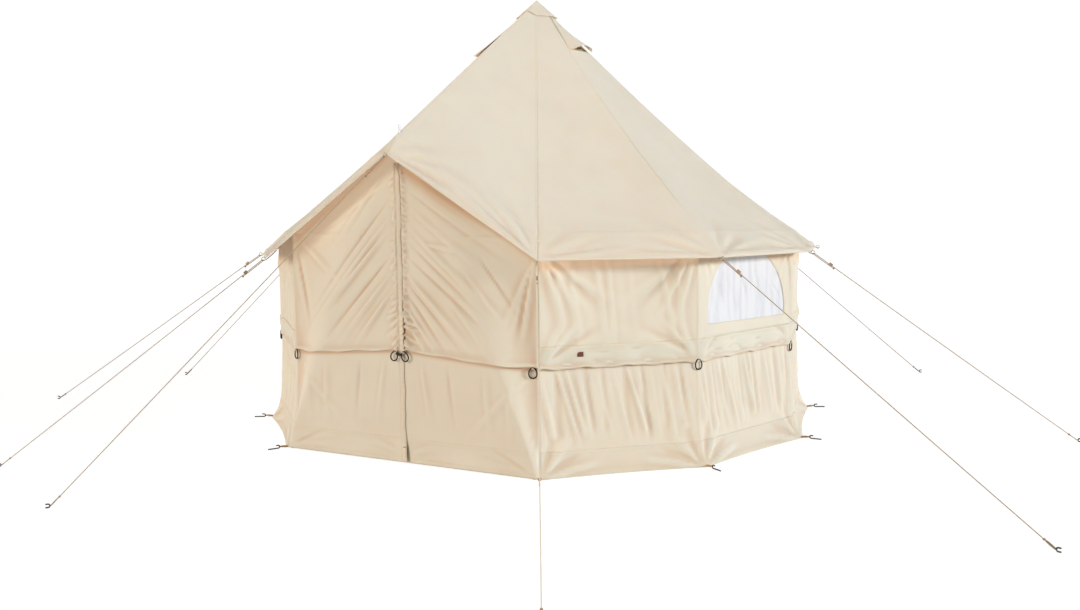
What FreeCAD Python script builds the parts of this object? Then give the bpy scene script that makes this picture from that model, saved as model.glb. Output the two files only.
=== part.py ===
"""Bell tent: a twelve-sided canvas tent on a centre pole, with a pole-framed zip door.

Frame: millimetres, +Z up, the origin on the ground at the foot of the centre pole, the door facing -Y.
An angle is measured about the pole from the door (-Y) towards +X. The wall has eleven corners, evenly
spaced from one side of the door round the back to the other, and the door takes the place of a twelfth.
"""

import FreeCAD
import Part
import math
import os
from FreeCAD import Placement, Rotation, Vector

doc = FreeCAD.newDocument("bell_tent")

# ---------------------------------------------------------------- driving dimensions

DIMENSIONS = [
    ("base_radius", "1500", "wall corner at the ground, from the pole"),
    ("tent_height", "2247", "top of the roof canvas"),
    ("door_half_angle", "28.3", "degrees from the middle of the door to the first wall corner"),
    ("eave_radius", "1553", "corner of the roof's overhang"),
    ("eave_height", "950", "height of that corner"),
    ("wall_top_radius", "1427", "wall corner where the wall is sewn to the roof"),
    ("waist_radius", "1428", "wall corner at the waist seam"),
    ("waist_height", "485", "height of the waist seam"),
    ("hem_height", "110", "height of the mud flap sewn round the bottom"),
    ("band_height", "90", "height of the doubled band above the waist seam"),
    ("canvas", "2", "thickness of the wall and roof canvas, as modelled"),
    ("trim", "1.5", "thickness of bands, tapes and flaps"),
    ("seam_gap", "0.3", "clearance between separate soft pieces"),
    ("peak_height", "1508", "top of the doorway"),
    ("awning_radius", "1430", "tip of the awning, from the pole"),
    ("crown_radius", "25", "hole in the roof canvas at the pole"),
    ("cap_radius", "110", "apex cover, corner to pole"),
    ("vent_top", "120", "upper tip of a vent hood, along the roof, from the pole"),
    ("vent_bottom", "335", "lower edge of a vent hood, from the pole"),
    ("vent_half_width", "102", "half the width of a vent hood"),
    ("vent_lift", "52", "how far the lower edge of a hood stands off the roof"),
    ("vent_hole_top", "165", "upper tip of the hole under a hood, from the pole"),
    ("vent_hole_bottom", "310", "lower edge of that hole"),
    ("vent_hole_half", "63", "half the width of that hole"),
    ("window_half_width", "310", "half the width of a window"),
    ("window_sill", "640", "height of a window's straight lower edge"),
    ("window_rise", "352", "height of a window above its sill"),
    ("film", "0.8", "thickness of window film and vent mesh"),
    ("pole_radius", "16", "outer radius of the centre pole"),
    ("pole_wall", "1.6", "wall of the centre pole"),
    ("pole_lower_top", "780", "top of the centre pole's lower section"),
    ("pole_middle_top", "1500", "top of its middle section"),
    ("pole_top", "2200", "top of its upper section"),
    ("foot_radius", "34", "rubber foot of the centre pole"),
    ("foot_height", "22", "height of that foot"),
    ("foot_shoulder", "7.7", "rounding of its upper edge"),
    ("cap_stub", "45", "length of the pole cap inside the pole"),
    ("cap_flange", "21", "radius of the pole cap above the pole"),
    ("cap_shoulder", "22", "straight side of the pole cap above the pole"),
    ("cap_crown", "37", "top of the pole cap above the pole"),
    ("cap_nose", "5", "radius of the flat on top of the pole cap"),
    ("plug_length", "120", "length of the joining plugs"),
    ("plug_clearance", "0.08", "radial clearance of a plug in its tube"),
    ("door_tube_radius", "9.5", "outer radius of the door frame's legs"),
    ("door_tube_wall", "1.5", "wall of those legs"),
    ("frame_inset", "20", "door frame behind the door canvas"),
    ("frame_half_base", "678", "foot of each leg from the middle of the door"),
    ("frame_peak", "1440", "height at which the two legs meet"),
    ("leg_foot_radius", "14.5", "rubber foot of each leg"),
    ("leg_foot_height", "14", "height of that foot"),
    ("leg_foot_stub", "60", "reach of that foot up the leg, from the ground"),
    ("leg_start", "26", "lower end of a leg's tube, along the leg from the ground"),
    ("hub_radius", "13.5", "hub at the peak of the door frame"),
    ("hub_width", "22", "length of that hub, front to back"),
    ("hub_clear", "17", "upper end of a leg's tube, short of the peak"),
    ("hub_stub", "70", "reach of the peak bracket down each leg"),
    ("leg_split", "0.48", "share of a leg that is its lower section"),
    ("spike_length", "112", "pin through the roof above the door frame"),
    ("spike_radius", "4", "radius of that pin"),
    ("leaf_drop", "120", "top of the door leaves below the peak of the doorway"),
    ("leaf_clear", "6", "bottom of the door leaves above the ground"),
    ("hinge_gap", "1.5", "clearance each side of a leaf's fold line"),
    ("tape_width", "25", "width of a zip tape"),
    ("tape_low", "3", "lower end of a zip tape above the leaf's edge"),
    ("tape_high", "8", "upper end of a zip tape below the leaf's edge"),
    ("flap_width", "42", "width of the storm flap beside the zip"),
    ("slider_height", "26", "height of the zip slider"),
    ("slider_width", "12", "width of the zip slider"),
    ("slider_depth", "6", "depth of the zip slider"),
    ("slider_rest", "60", "height of the slider with the door closed"),
    ("ear_width", "1.5", "each of the slider's two ears"),
    ("ear_depth", "4.2", "how far an ear stands out"),
    ("ear_height", "6", "height of an ear"),
    ("pin_drop", "8", "pull's pin below the top of the slider"),
    ("pin_reach", "2.2", "pull's pin in front of the slider"),
    ("pin_radius", "0.8", "radius of that pin"),
    ("eye_radius", "1.8", "eye of the pull round its pin"),
    ("eye_bore", "0.88", "bore of that eye"),
    ("eye_side", "2", "pull's edge from the slider's side"),
    ("pull_thickness", "1.6", "thickness of the pull"),
    ("pull_length", "38", "length of the zip pull below its pin"),
    ("loop_radius", "18", "elastic loop, to the middle of its cord"),
    ("loop_cord", "2.2", "radius of that cord"),
    ("loop_drop", "24", "middle of a loop below the waist seam"),
    ("door_waist_rise", "42", "waist seam at the zip above the waist seam at the corners"),
    ("loop_inset", "6", "middle of a door loop short of the storm flap's edge"),
    ("toggle_radius", "4", "radius of the toggle beside the zip"),
    ("toggle_left", "16", "far end of the toggle, from the zip"),
    ("toggle_right", "2", "near end of the toggle, from the zip"),
    ("toggle_lift", "6", "toggle above the middle of the loops"),
    ("ring_radius", "9", "eave ring, to the middle of its wire"),
    ("ring_wire", "1.5", "radius of that wire"),
    ("guy_cord", "2", "radius of a guy line"),
    ("runner_start", "85", "runner from the guy line's upper end"),
    ("runner_length", "18", "length of a runner"),
    ("runner_body", "3.6", "radius of a runner round each cord"),
    ("runner_pitch", "6", "distance between the two cords in a runner"),
    ("return_tail", "12", "end of the returning cord past its runner"),
    ("ring_drop", "2", "middle of an eave ring below the roof's edge"),
    ("runner_clearance", "0.08", "radial clearance of a cord in its runner"),
    ("peg_rod", "3", "radius of a peg's rod"),
    ("peg_reach", "58", "length of a wall peg that shows above the ground"),
    ("guy_peg_reach", "17", "length of a guy line's peg that shows above the ground"),
    ("peg_bend", "7", "radius of a peg's hook"),
    ("peg_tip", "9.8", "straight end of that hook"),
    ("peg_offset", "34", "wall peg beyond its wall corner"),
    ("peg_grip", "3.5", "end of a guy line short of its peg"),
]

sheet = doc.addObject("Spreadsheet::Sheet", "Dimensions")
for row, (alias, number, meaning) in enumerate(DIMENSIONS, start=1):
    sheet.set(f"A{row}", alias)
    sheet.set(f"B{row}", number)
    sheet.set(f"C{row}", meaning)
    sheet.setAlias(f"B{row}", alias)
doc.recompute()


def size(alias):
    """A driving dimension, as a plain number."""
    return float(sheet.get(alias))


# name, wall corner that the line leaves (0 is the awning's tip), peg angle, peg distance from the pole
GUY_LINES = [
    ("door", 0, -18.8, 2716),
    ("front_right", 1, 28.6, 3150),
    ("right_front", 2, 63.9, 3098),
    ("right", 3, 99.6, 2752),
    ("back_right", 5, 142.6, 2700),
    ("back", 6, 180, 2750),
    ("back_left", 7, 213, 2750),
    ("left", 9, 269.4, 2736),
    ("left_front", 10, 288.4, 2963),
    ("front_left", 11, 323.1, 2763),
]

parts = {}
THROUGH = 20  # how far a cutting prism reaches past the cloth


# ---------------------------------------------------------------- shared geometry

DOOR_ANGLE = size("door_half_angle")
STEP = (180 - DOOR_ANGLE) / 5
CORNERS = [DOOR_ANGLE + STEP * count for count in range(11)]
PANELS = CORNERS[:-1]
VENTED = [PANELS[1], PANELS[8]]
HALF = math.cos(math.radians(STEP / 2))
CORNER_SLOPE = (size("tent_height") - size("eave_height")) / size("eave_radius")
DOOR_DISTANCE = size("base_radius") * math.cos(math.radians(DOOR_ANGLE))
DOOR_HALF = size("base_radius") * math.sin(math.radians(DOOR_ANGLE))
RIDGE_SLOPE = (size("tent_height") - size("peak_height")) / DOOR_DISTANCE
FRAME_DISTANCE = DOOR_DISTANCE - size("frame_inset")
LEG_LEAN = DOOR_HALF / size("peak_height")
FOLD_OFFSET = size("hinge_gap") * math.hypot(1, LEG_LEAN)


def around(angle, radius, height):
    """A point at an angle about the pole, measured from the door."""
    turn = math.radians(angle)
    return Vector(radius * math.sin(turn), -radius * math.cos(turn), height)


def roof_point(angle, radius):
    """A point on one of the roof's ridges: the door ridge at 0 degrees, or a wall corner's."""
    slope = CORNER_SLOPE if angle % 360 else RIDGE_SLOPE
    return around(angle, radius, size("tent_height") - slope * radius)


def between(start, end, share):
    return start + (end - start) * share


def drop(slab_points, fall):
    return [point - Vector(0, 0, fall) for point in slab_points]


def vertical_fall(points, thickness):
    """How far a plane drops, measured vertically, when it moves in by a thickness."""
    normal = (points[1] - points[0]).cross(points[2] - points[0]).normalize()
    return thickness / abs(normal.z)


def slab(outer, inner):
    """A solid between two flat outlines with the same number of corners."""
    faces = [Part.Face(Part.makePolygon(outer + outer[:1])), Part.Face(Part.makePolygon(inner + inner[:1]))]
    for here in range(len(outer)):
        after = (here + 1) % len(outer)
        rim = [outer[here], outer[after], inner[after], inner[here]]
        faces.append(Part.Face(Part.makePolygon(rim + rim[:1])))
    solid = Part.Solid(Part.Shell(faces))
    if solid.Volume < 0:
        solid.reverse()
    return solid


def add_canvas(label, solids):
    """A sewn piece, which is one or several flat cloth solids."""
    piece = doc.addObject("Part::Feature", label)
    piece.Shape = solids[0] if len(solids) == 1 else Part.makeCompound(solids)
    piece.Label = label
    parts[label] = piece
    return piece


def add_pair(label, build):
    """Left and right copies of a hard piece, in one node."""
    pair = doc.addObject("Part::Compound", label)
    pair.Links = [build("left", -1), build("right", 1)]
    pair.Label = label
    parts[label] = pair
    return pair


def bind(piece, **expressions):
    for name, expression in expressions.items():
        piece.setExpression(name, expression)


def origin_plane(body, role):
    return next(item for item in body.Origin.OriginFeatures if item.Role == role)


def add_sketch(body, name, plane, offset=None):
    drawing = body.newObject("Sketcher::SketchObject", name)
    drawing.AttachmentSupport = [(origin_plane(body, plane), "")]
    drawing.MapMode = "FlatFace"
    if offset is not None:
        drawing.AttachmentOffset = Placement(offset, Rotation())
    return drawing


def outline(drawing, corners):
    """Draws a closed outline of straight edges in a sketch."""
    for start, end in zip(corners, corners[1:] + corners[:1]):
        drawing.addGeometry(Part.LineSegment(Vector(*start, 0), Vector(*end, 0)), False)


def along(direction):
    """A rotation that lays a piece's own Z along a direction, with its X pointing down."""
    axis = Vector(direction).normalize()
    side = Vector(0, 0, -1).cross(axis).normalize()
    return Rotation(axis.cross(side) * -1, side * -1, axis, "ZXY")


def tube(label, radius, wall, start, end):
    """A straight tube between two points, its section bound to the sheet."""
    length = (end - start).Length
    turned = Placement(start, Rotation(Vector(0, 0, 1), end - start))
    outside = doc.addObject("Part::Cylinder", label + "_outside")
    inside = doc.addObject("Part::Cylinder", label + "_inside")
    bind(outside, Radius=radius)
    bind(inside, Radius=f"{radius} - {wall}")
    for cylinder in (outside, inside):
        cylinder.Height = length
        cylinder.Placement = turned
    cut = doc.addObject("Part::Cut", label)
    cut.Base = outside
    cut.Tool = inside
    cut.Label = label
    return cut


def rod(label, radius, start, end):
    """A straight round bar between two points."""
    bar = doc.addObject("Part::Cylinder", label)
    bind(bar, Radius=radius)
    bar.Height = (end - start).Length
    bar.Placement = Placement(start, Rotation(Vector(0, 0, 1), end - start))
    bar.Label = label
    return bar


# ---------------------------------------------------------------- centre pole


def build_centre_pole():
    joints = [size("foot_height"), size("pole_lower_top"), size("pole_middle_top"), size("pole_top")]
    for name, low, high in zip(("pole_lower", "pole_middle", "pole_upper"), joints, joints[1:]):
        parts[name] = tube(name, "Dimensions.pole_radius", "Dimensions.pole_wall",
                           Vector(0, 0, low), Vector(0, 0, high))
    plugs = []
    for number, level in enumerate(joints[1:3], start=1):
        reach = size("plug_length") / 2
        plugs.append(rod(f"pole_plug_{number}",
                         "Dimensions.pole_radius - Dimensions.pole_wall - Dimensions.plug_clearance",
                         Vector(0, 0, level - reach), Vector(0, 0, level + reach)))
    group = doc.addObject("Part::Compound", "pole_joints")
    group.Links = plugs
    parts["pole_joints"] = group


def build_pole_foot():
    """A rubber foot: a disc with a rounded shoulder and a stub that fills the tube's end."""
    body = doc.addObject("PartDesign::Body", "pole_foot")
    disc = add_sketch(body, "foot_outline", "XY_Plane")
    disc.addGeometry(Part.Circle(Vector(), Vector(0, 0, 1), size("foot_radius")), False)
    pad = body.newObject("PartDesign::Pad", "foot_disc")
    pad.Profile = disc
    bind(pad, Length="Dimensions.foot_height")
    doc.recompute()
    shoulder = body.newObject("PartDesign::Fillet", "foot_shoulder")
    top = max(range(len(pad.Shape.Edges)), key=lambda index: pad.Shape.Edges[index].CenterOfMass.z)
    shoulder.Base = (pad, [f"Edge{top + 1}"])
    shoulder.Radius = size("foot_shoulder")
    stub = add_sketch(body, "stub_outline", "XY_Plane", Vector(0, 0, size("foot_height")))
    bore = size("pole_radius") - size("pole_wall") - size("plug_clearance")
    stub.addGeometry(Part.Circle(Vector(), Vector(0, 0, 1), bore), False)
    stub_pad = body.newObject("PartDesign::Pad", "foot_stub")
    stub_pad.Profile = stub
    bind(stub_pad, Length="Dimensions.foot_height")
    body.Tip = stub_pad
    parts["pole_foot"] = body


def build_pole_cap():
    """A turned plug on top of the pole, with a cone that carries the roof's crown."""
    body = doc.addObject("PartDesign::Body", "pole_cap")
    profile = add_sketch(body, "cap_profile", "XZ_Plane")
    bore = size("pole_radius") - size("pole_wall") - size("plug_clearance")
    top = size("pole_top")
    low, flange = top - size("cap_stub"), size("cap_flange")
    shoulder, crown = top + size("cap_shoulder"), top + size("cap_crown")
    outline(profile, [(0, low), (bore, low), (bore, top), (flange, top),
                      (flange, shoulder), (size("cap_nose"), crown), (0, crown)])
    turned = body.newObject("PartDesign::Revolution", "cap_turning")
    turned.Profile = profile
    turned.ReferenceAxis = (profile, ["V_Axis"])
    turned.Angle = 360
    body.Tip = turned
    parts["pole_cap"] = body


# ---------------------------------------------------------------- door frame


def leg_point(side, share):
    """A point on a leg of the door frame, from its foot (0) to the peak (1)."""
    foot = Vector(side * size("frame_half_base"), -FRAME_DISTANCE, 0)
    peak = Vector(0, -FRAME_DISTANCE, size("frame_peak"))
    return between(foot, peak, share)


LEG_LENGTH = (leg_point(1, 1) - leg_point(1, 0)).Length
FOOT_SHARE = size("leg_start") / LEG_LENGTH
HUB_SHARE = 1 - size("hub_clear") / LEG_LENGTH


def build_door_frame():
    wall = "Dimensions.door_tube_wall"
    outer = "Dimensions.door_tube_radius"
    plug = f"{outer} - {wall} - Dimensions.plug_clearance"
    split = size("leg_split")
    half_plug = size("plug_length") / 2 / LEG_LENGTH
    add_pair("door_pole_lower", lambda name, side: tube(
        f"lower_leg_{name}", outer, wall, leg_point(side, FOOT_SHARE), leg_point(side, split)))
    add_pair("door_pole_upper", lambda name, side: tube(
        f"upper_leg_{name}", outer, wall, leg_point(side, split), leg_point(side, HUB_SHARE)))
    add_pair("door_pole_joints", lambda name, side: rod(
        f"leg_plug_{name}", plug, leg_point(side, split - half_plug), leg_point(side, split + half_plug)))
    add_pair("door_pole_feet", build_leg_foot)
    build_door_peak(plug)


def build_leg_foot(name, side):
    """A rubber foot: an upright disc on the ground and a stub up the slanted leg."""
    disc = doc.addObject("Part::Cylinder", f"leg_foot_disc_{name}")
    bind(disc, Radius="Dimensions.leg_foot_radius", Height="Dimensions.leg_foot_height")
    disc.Placement.Base = leg_point(side, 0)
    stub = rod(f"leg_foot_stub_{name}",
               "Dimensions.door_tube_radius - Dimensions.door_tube_wall - Dimensions.plug_clearance",
               leg_point(side, size("leg_foot_height") / 2 / LEG_LENGTH),
               leg_point(side, size("leg_foot_stub") / LEG_LENGTH))
    foot = doc.addObject("Part::Fuse", f"leg_foot_{name}")
    foot.Base = disc
    foot.Tool = stub
    return foot


def build_door_peak(plug):
    """The bracket that joins the two legs and carries the pin through the roof."""
    half_hub = Vector(0, size("hub_width") / 2, 0)
    peak = leg_point(1, 1)
    hub = rod("peak_hub", "Dimensions.hub_radius", peak - half_hub, peak + half_hub)
    pin = rod("peak_pin", "Dimensions.spike_radius", peak, peak + Vector(0, 0, size("spike_length")))
    reach = 1 - size("hub_stub") / LEG_LENGTH
    stubs = [rod(f"peak_stub_{side}", plug, leg_point(side, 1), leg_point(side, reach)) for side in (-1, 1)]
    bracket = doc.addObject("Part::MultiFuse", "door_pole_peak")
    bracket.Shapes = [hub, pin] + stubs
    parts["door_pole_peak"] = bracket


# ---------------------------------------------------------------- roof canvas


def roof_slab(outer, thickness):
    return slab(outer, drop(outer, vertical_fall(outer, thickness)))


def gore_outline(angle, inner_radius, outer_radius):
    """A roof gore between two ridges."""
    other = angle + STEP
    return [roof_point(angle, inner_radius), roof_point(other, inner_radius),
            roof_point(other, outer_radius), roof_point(angle, outer_radius)]


def gore_frame(angle):
    """The middle line of a gore: a point at the apex, the way down the slope, and the normal."""
    corners = gore_outline(angle, 0.0, size("eave_radius"))
    apex = roof_point(angle, 0)
    down = (between(corners[2], corners[3], 0.5) - apex).normalize()
    across = (corners[2] - corners[3]).normalize()
    normal = down.cross(across).normalize()
    return apex, down, across, normal if normal.z > 0 else normal * -1


def on_gore(frame, distance, sideways, lift):
    """A point on a gore, at a horizontal distance from the pole."""
    apex, down, across, normal = frame
    return apex + down * (distance / math.hypot(down.x, down.y)) + across * sideways + normal * lift


def vent_hole(angle, lift_low, lift_high):
    """The triangular prism that is cut through a gore under its hood."""
    frame = gore_frame(angle)
    top, bottom, half = size("vent_hole_top"), size("vent_hole_bottom"), size("vent_hole_half")
    corners = [(top, 0), (bottom, -half), (bottom, half)]
    return slab([on_gore(frame, reach, side, lift_high) for reach, side in corners],
                [on_gore(frame, reach, side, lift_low) for reach, side in corners])


def build_roof():
    canvas = size("canvas")
    crown, eave = size("crown_radius"), size("eave_radius")
    plain = [angle for angle in PANELS if angle not in VENTED]
    add_canvas("roof_gores", [roof_slab(gore_outline(angle, crown, eave), canvas) for angle in plain])
    add_canvas("vented_gores", [
        roof_slab(gore_outline(angle, crown, eave), canvas).cut(vent_hole(angle, -THROUGH, THROUGH))
        for angle in VENTED])
    add_canvas("vent_mesh", [vent_hole(angle, -canvas, size("film") - canvas) for angle in VENTED])
    add_canvas("vent_hoods", [half for angle in VENTED for half in vent_hood(angle)])
    add_canvas("door_gores", [door_gore(side) for side in (-1, 1)])
    add_canvas("awning", [awning_half(side) for side in (-1, 1)])
    add_canvas("apex_cap", apex_cap())


def vent_hood(angle):
    """A hood folded down its middle and open at its lower edge."""
    frame = gore_frame(angle)
    lifts = (size("seam_gap"), size("seam_gap") + size("trim"))
    halves = []
    for side in (-1, 1):
        faces = []
        for lift in lifts:
            faces.append([on_gore(frame, size("vent_top"), 0, lift),
                          on_gore(frame, size("vent_bottom"), side * size("vent_half_width"), lift),
                          on_gore(frame, size("vent_bottom"), 0, size("vent_lift") + lift)])
        halves.append(slab(*faces))
    return halves


def pin_notch(side):
    """The corner beside the door frame's pin, where the gore and the awning are cut away."""
    ridge = roof_point(0, FRAME_DISTANCE)
    eave = roof_point(side * DOOR_ANGLE, size("eave_radius"))
    clear = size("spike_radius") * 2
    return between(ridge, eave, clear / (eave - ridge).Length)


def door_gore(side):
    clear = size("spike_radius") * 2
    outer = [roof_point(0, size("crown_radius")), roof_point(side * DOOR_ANGLE, size("crown_radius")),
             roof_point(side * DOOR_ANGLE, size("eave_radius")), pin_notch(side),
             roof_point(0, FRAME_DISTANCE - clear)]
    return roof_slab(outer, size("canvas"))


def awning_half(side):
    clear = size("spike_radius") * 2
    outer = [roof_point(0, size("awning_radius")), roof_point(0, FRAME_DISTANCE + clear),
             pin_notch(side), roof_point(side * DOOR_ANGLE, size("eave_radius"))]
    return roof_slab(outer, size("canvas"))


def apex_cap():
    """The cover over the crown, which lies on the gores and closes their hole."""
    pieces = []
    ridges = [0] + CORNERS
    for angle, other in zip(ridges, ridges[1:] + ridges[:1]):
        rim = [roof_point(angle, size("cap_radius")), roof_point(other, size("cap_radius"))]
        low = [roof_point(0, 0)] + rim
        pieces.append(slab(drop(low, -vertical_fall(low, size("trim"))), low))
    return pieces


# ---------------------------------------------------------------- wall canvas


def wall_outline(angle, levels):
    """The outer face of a wall panel, between two (radius, height) levels."""
    (low_radius, low), (high_radius, high) = levels
    other = angle + STEP
    return [around(angle, low_radius, low), around(other, low_radius, low),
            around(other, high_radius, high), around(angle, high_radius, high)]


def wall_slab(angle, levels, inward, outward=0.0):
    """A wall panel with mitred ends, from a skin inside its outline to one outside it."""
    skins = []
    for offset in (outward, -inward):
        skins.append(wall_outline(angle, [(radius + offset / HALF, level) for radius, level in levels]))
    return slab(*skins)


def wall_radius(height):
    """The wall's corner radius at a height."""
    waist = size("waist_height")
    if height <= waist:
        share = height / waist
        return size("base_radius") + (size("waist_radius") - size("base_radius")) * share
    share = (height - waist) / (WALL_TOP - waist)
    return size("waist_radius") + (size("wall_top_radius") - size("waist_radius")) * share


ROOF_FALL = vertical_fall(
    gore_outline(DOOR_ANGLE, size("crown_radius"), size("eave_radius")), size("canvas"))
WALL_TOP = (size("tent_height") - CORNER_SLOPE * size("wall_top_radius")) - ROOF_FALL - size("seam_gap")


def window_prism(angle):
    """The half-ellipse of a window, as a prism that runs from inside the wall to outside it."""
    near, far = size("wall_top_radius") * HALF - THROUGH, size("waist_radius") + THROUGH
    half, sill, rise = size("window_half_width"), size("window_sill"), size("window_rise")
    middle = Vector(0, 0, sill)
    edge = Part.Arc(Part.Ellipse(middle, rise, half), -math.pi / 2, math.pi / 2).toShape()
    edge.rotate(middle, Vector(0, 1, 0), -90)
    edge.rotate(middle, Vector(0, 0, 1), 90)
    ends = [vertex.Point for vertex in edge.Vertexes]
    face = Part.Face(Part.Wire([edge, Part.LineSegment(*ends).toShape()]))
    prism = face.extrude(Vector(0, near - far, 0))
    prism.translate(Vector(0, -near, 0))
    prism.rotate(Vector(), Vector(0, 0, 1), angle + STEP / 2)
    return prism


def build_walls():
    canvas, trim, waist = size("canvas"), size("trim"), size("waist_height")
    base_level = (size("base_radius"), 0)
    waist_level = (size("waist_radius"), waist)
    top_level = (size("wall_top_radius"), WALL_TOP)
    upper, lower = (waist_level, top_level), (base_level, waist_level)
    plain = [angle for angle in PANELS if angle not in VENTED]
    add_canvas("upper_walls", [wall_slab(angle, upper, canvas) for angle in plain])
    add_canvas("window_walls", [
        wall_slab(angle, upper, canvas).cut(window_prism(angle)) for angle in VENTED])
    add_canvas("window_panes", [
        wall_slab(angle, upper, (canvas + size("film")) / 2, (size("film") - canvas) / 2).common(
            window_prism(angle)) for angle in VENTED])
    add_canvas("lower_walls", [wall_slab(angle, lower, canvas) for angle in PANELS])
    hem_foot = size("canvas")
    hem = [(wall_radius(level), level) for level in (hem_foot, size("hem_height"))]
    band = [(wall_radius(level), level) for level in (waist, waist + size("band_height"))]
    add_canvas("hem_band", [wall_slab(angle, hem, 0, trim) for angle in PANELS])
    add_canvas("waist_band", [wall_slab(angle, band, 0, trim) for angle in PANELS])


# ---------------------------------------------------------------- door


def in_door(x, height, forward=0.0):
    """A point of the upright door plane."""
    return Vector(x, -DOOR_DISTANCE - forward, height)


def upright_slab(points, back, front):
    """A solid that takes an outline of the door from a depth behind it to one in front."""
    return slab([point - Vector(0, front, 0) for point in points], [point - Vector(0, back, 0) for point in points])


def fold_x(height):
    """Half the width of the doorway at a height: the line that a leaf folds along."""
    return DOOR_HALF - LEG_LEAN * height


def door_gusset(side):
    """The fixed cloth between a leaf's fold line and the wall corner, in two facets."""
    half = size("canvas") / 2
    pull_in = Vector(-side * half, 0, 0)
    base, waist, top = (around(side * DOOR_ANGLE, radius, height) + pull_in for radius, height in (
        (size("base_radius"), 0), (size("waist_radius"), size("waist_height")),
        (size("wall_top_radius"), WALL_TOP - size("seam_gap"))))
    start = FOLD_OFFSET + half
    peak = in_door(side * start, size("peak_height") - 3 * size("canvas"))
    gain = (abs(base.x) - abs(waist.x)) / size("waist_height")
    toe_share = start / (LEG_LEAN - gain) / size("waist_height")
    toe = between(base, waist, toe_share)
    return [upright_slab([toe, waist, peak], -half, half), upright_slab([waist, top, peak], -half, half)]


def door_header():
    """The small fixed piece above the leaves."""
    half = size("canvas") / 2
    low = size("peak_height") - size("leaf_drop") + 2 * size("hinge_gap")
    reach = fold_x(low) - FOLD_OFFSET
    high = size("peak_height") - 4 * size("canvas") - FOLD_OFFSET / LEG_LEAN
    return upright_slab([in_door(-reach, low), in_door(reach, low), in_door(0, high)], -half, half)


def leaf_outline(side):
    """A door leaf: from the zip at the middle to its fold line along the frame's leg."""
    low = size("leaf_clear")
    high = size("peak_height") - size("leaf_drop")
    middle = size("hinge_gap") / 2
    return [in_door(side * middle, low), in_door(side * (fold_x(low) - FOLD_OFFSET), low),
            in_door(side * (fold_x(high) - FOLD_OFFSET), high), in_door(side * middle, high)]


def strip(side, near, far, low, high, back, front):
    """An upright strip of a leaf, between two distances from the zip."""
    corners = [in_door(side * near, low), in_door(side * far, low), in_door(side * far, high),
               in_door(side * near, high)]
    return upright_slab(corners, back, front)


def build_door():
    half, trim = size("canvas") / 2, size("trim")
    low = size("leaf_clear") + size("tape_low")
    high = size("peak_height") - size("leaf_drop") - size("tape_high")
    add_canvas("door_gussets", door_gusset(-1) + door_gusset(1) + [door_header()])
    for name, side in (("left", -1), ("right", 1)):
        add_canvas(f"door_leaf_{name}", [upright_slab(leaf_outline(side), -half, half)])
        add_canvas(f"zip_tape_{name}", [
            strip(side, size("seam_gap"), size("tape_width"), low, high, -half - trim, -half)])
    add_canvas("storm_flap", [
        strip(-1, size("hinge_gap") / 2, size("flap_width"), low, high, half, half + trim)])
    build_zip_slider(half)
    build_door_loops(half, trim)


def build_zip_slider(half):
    """The slider on the right leaf's side of the zip, and the pull that swings on its pin."""
    gap = size("seam_gap")
    left, width = size("hinge_gap") / 2 + gap, size("slider_width")
    rest, height = size("slider_rest"), size("slider_height")
    front = -DOOR_DISTANCE - half - gap
    depth = size("slider_depth")
    pin_y, pin_z = front - depth - size("pin_reach"), rest + height - size("pin_drop")
    ear_width, ear_height, sunk = size("ear_width"), size("ear_height"), 0.2
    block = doc.addObject("Part::Box", "slider_block")
    bind(block, Length="Dimensions.slider_width", Width="Dimensions.slider_depth",
         Height="Dimensions.slider_height")
    block.Placement.Base = Vector(left, front - depth, rest)
    ears = []
    for name, start in (("inner", left), ("outer", left + width - ear_width)):
        ear = doc.addObject("Part::Box", f"slider_ear_{name}")
        bind(ear, Length="Dimensions.ear_width", Width="Dimensions.ear_depth", Height="Dimensions.ear_height")
        ear.Placement.Base = Vector(start, front - depth - size("ear_depth") + sunk, pin_z - ear_height / 2)
        ears.append(ear)
    pin = rod("slider_pin", "Dimensions.pin_radius", Vector(left, pin_y, pin_z),
              Vector(left + width, pin_y, pin_z))
    slider = doc.addObject("Part::MultiFuse", "zip_slider")
    slider.Shapes = [block, pin] + ears
    parts["zip_slider"] = slider

    side, thickness = size("eye_side"), size("pull_thickness")
    eye = rod("pull_eye", "Dimensions.eye_radius", Vector(left + side, pin_y, pin_z),
              Vector(left + width - side, pin_y, pin_z))
    bore = rod("pull_bore", "Dimensions.eye_bore", Vector(left, pin_y, pin_z),
               Vector(left + width, pin_y, pin_z))
    tongue = doc.addObject("Part::Box", "pull_tongue")
    bind(tongue, Length="Dimensions.slider_width - 2 * Dimensions.eye_side",
         Width="Dimensions.pull_thickness", Height="Dimensions.pull_length")
    tongue.Placement.Base = Vector(left + side, pin_y - thickness / 2, pin_z - size("pull_length"))
    body = doc.addObject("Part::Fuse", "pull_body")
    body.Base, body.Tool = eye, tongue
    pull = doc.addObject("Part::Cut", "zip_pull")
    pull.Base, pull.Tool = body, bore
    parts["zip_pull"] = pull


def upright_loop(label, centre, angle):
    """An elastic loop that hangs flat against the wall at an angle about the pole."""
    loop = doc.addObject("Part::Torus", label)
    bind(loop, Radius1="Dimensions.loop_radius", Radius2="Dimensions.loop_cord")
    loop.Placement = Placement(centre, Rotation(Vector(0, 0, 1), angle).multiply(Rotation(Vector(1, 0, 0), 90)))
    return loop


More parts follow.
